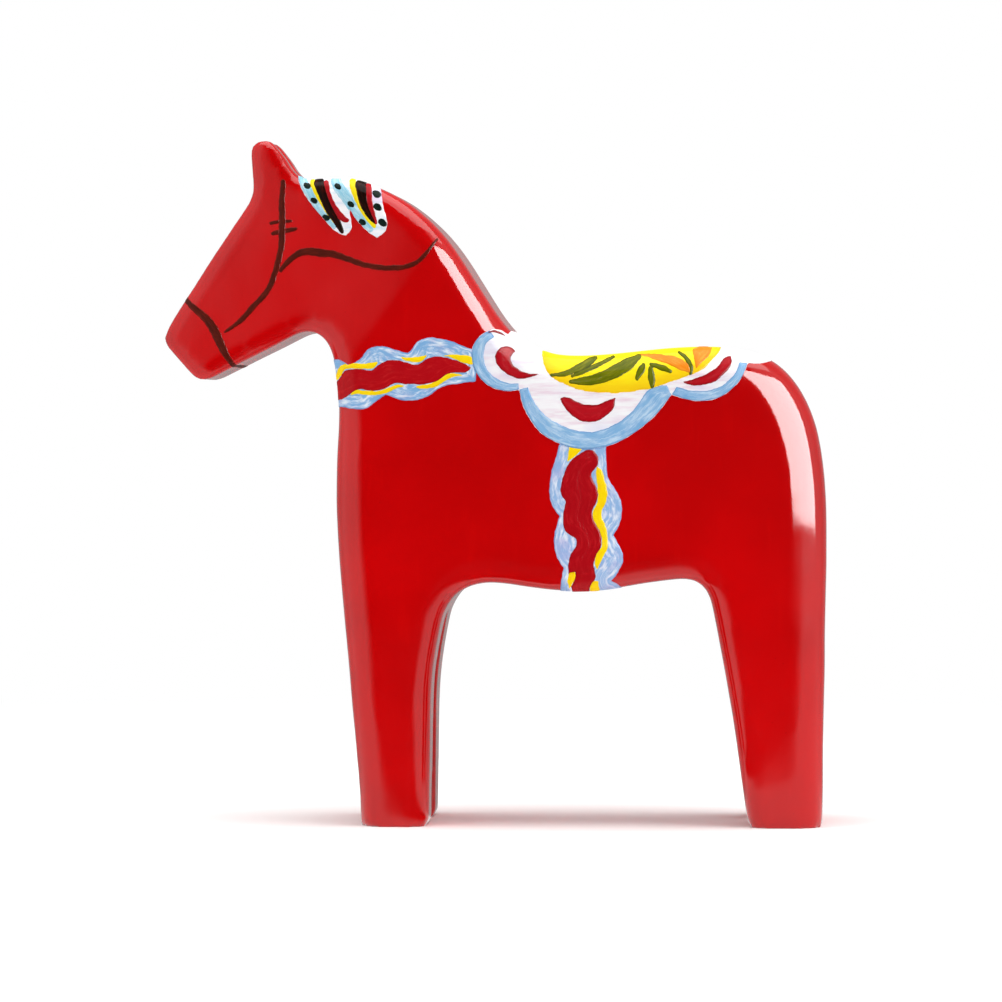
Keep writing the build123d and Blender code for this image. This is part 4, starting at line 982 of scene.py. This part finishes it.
def brushed(name, thick, thin, streak=1.0, along=0.35, across=2.2, cover=(0.35, 0.72),
            rim=None, rim_width=0.0, rim_share=0.0, blot=None, blot_share=0.0):
    """Opaque paint pulled along a mark: hair lines follow the outline.

    The thick colour thins out in streaks while the hair noise crosses cover; along and
    across are the hair frequencies. A rim colour gathers at the edge, a blot colour in spots.
    """
    p = Paint(name, roughness=0.36)
    edge, run, flank = p.attribute("edge"), p.attribute("run"), p.attribute("flank")
    wander = p.noise(p.vector(p.times(run, 0.25), p.times(edge, 0.7), flank), detail=2.0)
    lane = p.math("ADD", p.times(edge, across), p.times(wander, 2.0))
    hair_place = p.vector(lane, p.times(run, along), p.times(flank, 7.0))
    hairs = p.noise(hair_place, detail=4.0, rough=0.65)
    color = p.tint(thick, thin, by=hairs, span=cover, share=streak)
    if blot:
        spots = p.noise(p.mapped(scale=(330, 330, 330), shift=(4.0, 2.0, 7.0)), detail=2.0)
        color = p.tint(color, blot, by=spots, span=(0.5, 0.75), share=blot_share)
    if rim:
        at_rim = p.ramp(p.attribute("rim"), span=(0.0, rim_width), to=(rim_share, 0.0))
        color = p.mix(at_rim, color, rim)
    fine = p.noise(p.vector(p.times(lane, 3.0), p.times(run, along * 1.5), 3.0), detail=2.0)
    normal = p.bump(hairs, depth=0.05, strength=0.45)
    normal = p.bump(fine, depth=0.02, strength=0.4, over=normal)
    return p.finish(color, p.ramp(hairs, span=(0.3, 0.8), to=(0.30, 0.46)), normal)


def body_color(p, hairs, color):
    """Finishes a broad ground whose brush hairs stand up a little."""
    normal = p.bump(hairs, depth=0.06, strength=0.45)
    return p.finish(color, p.ramp(hairs, span=(0.3, 0.8), to=(0.30, 0.42)), normal)


def white_ground(name, tilt, streak, streak_share, cloud, cloud_share):
    """White body colour with faint streaks and clouds; tilt turns the hairs about y."""
    p = Paint(name, roughness=0.34)
    hair_place = p.mapped(scale=(110, 110, 900), turn=(0, tilt, 0))
    hairs = p.noise(hair_place, detail=4.0, rough=0.65)
    cloud_place = p.mapped(scale=(130, 60, 130), turn=(0, 0.7, 0), shift=(1.0, 5.0, 2.0))
    clouds = p.noise(cloud_place, detail=2.0)
    color = p.tint("F8F7FA", streak, by=hairs, span=(0.42, 0.75), share=streak_share)
    color = p.tint(color, cloud, by=clouds, span=(0.48, 0.72), share=cloud_share)
    return body_color(p, hairs, color)


def flower_yellow():
    """Yellow with brush hairs, warmer toward the flower's edge."""
    p = Paint("flower_yellow", roughness=0.34)
    hair_place = p.mapped(scale=(160, 160, 1100), turn=(0, -0.30, 0))
    hairs = p.noise(hair_place, detail=4.0, rough=0.65)
    at_edge = p.ramp(p.attribute("edge"), span=(0.2, 3.2), to=(1.0, 0.0))
    color = p.tint("FCE51C", "F6C814", by=hairs, span=(0.42, 0.75), share=0.55)
    color = p.mix(p.times(at_edge, 0.55), color, "F3B816")
    return body_color(p, hairs, color)


def wear(obj, material):
    obj.data.materials.clear()
    obj.data.materials.append(material)


BRUSHED = {
    "collar_blue_scallops": dict(
        name="collar_blue", thick="7DAEDC", thin="E6EEF8", across=1.7, along=0.28,
        cover=(0.42, 0.68), rim="5480BE", rim_width=0.35, rim_share=0.75,
        blot="A79FCE", blot_share=0.4),
    "girth_blue_edging": dict(
        name="girth_blue", thick="8FB4E0", thin="E6ECF8", across=1.7, along=0.28,
        cover=(0.42, 0.68), rim="6A8CC6", rim_width=0.35, rim_share=0.7,
        blot="B0ABDA", blot_share=0.5),
    "saddle_blue_border": dict(
        name="border_blue", thick="82B2DC", thin="C4DCF0", across=1.7, along=0.25,
        cover=(0.40, 0.72), rim="5B8DC4", rim_width=0.35, rim_share=0.75,
        blot="5F9FD6", blot_share=0.5),
    "mane_blue_strokes": dict(
        name="mane_blue", thick="8CC6DC", thin="D6ECF3", cover=(0.4, 0.75)),
    "mane_yellow_strokes": dict(
        name="mane_yellow", thick="F4DF1A", thin="EFC218", streak=0.7),
    "mane_brown_strokes": dict(
        name="mane_brown", thick="160A06", thin="4E0E0A", cover=(0.45, 0.8)),
    "mane_crimson_strokes": dict(
        name="mane_crimson", thick="9C0A14", thin="C2202A", streak=0.8),
    "mane_black_dots": dict(name="dot_black", thick="0B1512", thin="16302A", streak=0.7),
    "saddle_crimson_petals": dict(
        name="petal_crimson", thick="B2101C", thin="D03038", streak=0.6,
        cover=(0.45, 0.8), rim="6E0812", rim_width=0.5, rim_share=0.75),
    "collar_crimson_centre": dict(
        name="collar_crimson", thick="B00C16", thin="CC2A2A", streak=0.7,
        cover=(0.45, 0.8), rim="7C0A12", rim_width=0.4, rim_share=0.5),
    "girth_crimson_centre": dict(
        name="girth_crimson", thick="A80C16", thin="C8242A", streak=0.7,
        cover=(0.45, 0.8), rim="700810", rim_width=0.4, rim_share=0.55),
    "collar_yellow_lines": dict(
        name="collar_yellow", thick="FAD812", thin="F5B41C", streak=0.8, cover=(0.5, 0.8)),
    "girth_yellow_lines": dict(
        name="girth_yellow", thick="FBD80E", thin="F5B51A", streak=0.8, cover=(0.5, 0.8)),
    "saddle_green_strokes": dict(
        name="leaf_green", thick="5C660A", thin="8A8612", streak=0.9, across=2.4,
        cover=(0.4, 0.75), rim="343C08", rim_width=0.3, rim_share=0.8),
    "saddle_orange_strokes": dict(
        name="petal_orange", thick="EE841C", thin="F6A43A", streak=0.9, cover=(0.4, 0.75)),
}

wear(coat, red_lacquer())
wear(wood, bare_pine())
bridle_brown = brushed(
    "bridle_brown", thick="4A160E", thin="6E2014", across=2.6, cover=(0.4, 0.8),
    rim="8A120C", rim_width=0.22, rim_share=0.7,
)
for node in ("cheek_strap_stroke", "brow_tick_strokes", "rein_stroke", "noseband_stroke"):
    wear(films[node], bridle_brown)
wear(films["mane_white_ground"], white_ground(
    "mane_white", tilt=0.55, streak="A9D6EA", streak_share=0.85,
    cloud="DDBDE3", cloud_share=0.7,
))
wear(films["saddle_white_ground"], white_ground(
    "saddle_white", tilt=-0.5, streak="E9D2E0", streak_share=0.95,
    cloud="D5D3EE", cloud_share=0.5,
))
for node, look in BRUSHED.items():
    wear(films[node], brushed(**look))
wear(films["saddle_yellow_flower"], flower_yellow())

# The plain CAD nodes carry the finish of the object that stands in for them.
for node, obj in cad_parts.items():
    built = next(o for o in (wood, coat, *films.values()) if o.name.startswith(node))
    wear(obj, built.data.materials[0])

# ------------------------------------------------------------------ stage
# Reflections fade by direction along y (-1 behind the camera, +1 behind the horse):
DARK_ROOM_END = (-0.955, -0.76)  # from the dark room to bright paper
REAR_DIMMING = (0.0, 0.6)  # from bright paper to a dimmer backdrop


def floor_paper():
    """Paper that fades into plain white light further away, so no horizon shows."""
    p = Paint("studio_paper", roughness=0.9, coat=0.0)
    ray = p.add("LightPath").outputs
    broad = p.noise(p.mapped(scale=(9, 9, 9)), detail=2.0)
    paper = p.tint("F6F5F4", "F9F8F7", by=broad, span=(0.3, 0.7))
    p.finish(p.mix(ray["Is Glossy Ray"], paper, "403E3D"))

    radius = p.add("VectorMath", {0: p.place}, operation="LENGTH").outputs["Value"]
    away = p.add("SeparateXYZ", {0: p.place}).outputs["Y"]
    direction = p.math("DIVIDE", away, p.math("MAXIMUM", radius, 0.01))
    mirrored = p.tint("2A2A2A", "F6F6F6", by=direction, span=DARK_ROOM_END)
    mirrored = p.tint(mirrored, "A8A8A8", by=direction, span=REAR_DIMMING)
    light = p.mix(ray["Is Camera Ray"], mirrored, "FFFFFF")
    glow = p.add("Emission", {"Color": light}).outputs[0]
    far = p.ramp(radius, span=(0.10, 0.40))
    share = p.math("MAXIMUM", far, ray["Is Glossy Ray"])
    blend = p.add("MixShader", {0: share, 1: p.bsdf.outputs[0], 2: glow})
    p.feed(p.out.inputs["Surface"], blend.outputs[0])
    return p.material


def studio_floor(cells=24, half=3.0, z=-0.00002):
    """A square grid just below the soles."""
    row = cells + 1
    ticks = np.linspace(-half, half, row)
    points = np.array([(x, y, z) for y in ticks for x in ticks])
    faces = np.array([
        (i * row + j, i * row + j + 1, (i + 1) * row + j + 1, (i + 1) * row + j)
        for i in range(cells) for j in range(cells)
    ])
    return write_mesh("studio_floor", points, [faces])


floor = studio_floor()
floor.data.materials.append(floor_paper())

# ------------------------------------------------------------------ lights
HORSE = (0.0, 0.0, 0.065)  # middle of the horse


def softbox(name, where, aim, size, radiance, glossy=True, diffuse=True):
    """A rectangular light whose face shines with the given radiance."""
    data = bpy.data.lights.new(name, "AREA")
    data.shape = "RECTANGLE"
    data.size, data.size_y = size
    data.energy = radiance * math.pi * size[0] * size[1]
    data.color = (1, 1, 1)
    obj = bpy.data.objects.new(name, data)
    obj.location = where
    obj.rotation_euler = (Vector(aim) - Vector(where)).to_track_quat("-Z", "Y").to_euler()
    obj.visible_glossy = glossy
    obj.visible_diffuse = diffuse
    obj.visible_camera = False
    bpy.context.scene.collection.objects.link(obj)


softbox("fill_front", where=(-0.25, -1.30, 0.75), aim=HORSE,
        size=(1.6, 1.1), radiance=0.42, glossy=False)
softbox("key_top", where=(0.05, -0.05, 1.05), aim=HORSE, size=(1.0, 1.0), radiance=2.5)
softbox("left_wash", where=(-0.76, -0.34, 0.26), aim=(-0.04, 0.0, 0.20),
        size=(0.98, 0.76), radiance=0.25, glossy=False)
softbox("right_wash", where=(0.85, -0.30, 0.22), aim=(0.0, 0.0, 0.05),
        size=(0.80, 0.60), radiance=1.2, glossy=False)
softbox("right_panel", where=(0.42, -0.36, 0.33), aim=(0.05, 0.02, 0.29),
        size=(0.80, 0.56), radiance=16.0, diffuse=False)
softbox("floor_wash", where=(0.0, 0.0, 1.6), aim=(0.0, 0.0, 0.0),
        size=(1.4, 1.4), radiance=1.6, glossy=False)


def studio_world():
    """White paper behind the horse, a dark room behind the camera."""
    world = bpy.data.worlds.new("studio")
    bpy.context.scene.world = world
    world.use_nodes = True
    g = Graph(world.node_tree)
    ray = g.add("LightPath").outputs["Is Camera Ray"]
    where = g.add("TexCoord").outputs["Generated"]
    level = g.add("VectorMath", {0: where, 1: (1.0, 1.0, 0.0)}, operation="MULTIPLY")
    heading = g.add("VectorMath", {0: level.outputs[0]}, operation="NORMALIZE")
    direction = g.add("SeparateXYZ", {0: heading.outputs[0]}).outputs["Y"]
    room = g.ramp(direction, span=DARK_ROOM_END, to=(0.02, 0.92))
    rear = g.ramp(direction, span=REAR_DIMMING, to=(1.0, 0.42))
    # The camera itself sees full white.
    seen = g.add("Mix", {0: ray, 2: g.times(room, rear), 3: 1.0}, data_type="FLOAT")
    light = g.add("Background", {"Color": "FFFFFF", "Strength": seen.outputs[0]})
    g.add("OutputWorld", {0: light.outputs[0]})


studio_world()

# ------------------------------------------------------------------ camera
AZIMUTH, ELEVATION = math.radians(2.8), math.radians(1.2)
DISTANCE = 1.0
TARGET = Vector((0.00085, 0.0, 0.0612))

camera_data = bpy.data.cameras.new("camera")
camera_data.sensor_width = 36.0
camera_data.lens = 187.36527
camera_data.clip_start = 0.05
camera_data.clip_end = 20.0
camera = bpy.data.objects.new("camera", camera_data)
camera.location = TARGET + DISTANCE * Vector((
    math.sin(AZIMUTH) * math.cos(ELEVATION),
    -math.cos(AZIMUTH) * math.cos(ELEVATION),
    math.sin(ELEVATION),
))
camera.rotation_euler = (TARGET - camera.location).to_track_quat("-Z", "Y").to_euler()
scene = bpy.context.scene
scene.collection.objects.link(camera)
scene.camera = camera
scene.view_settings.view_transform = "Standard"
scene.view_settings.look = "None"
scene.view_settings.exposure = 0.0
scene.view_settings.gamma = 1.0
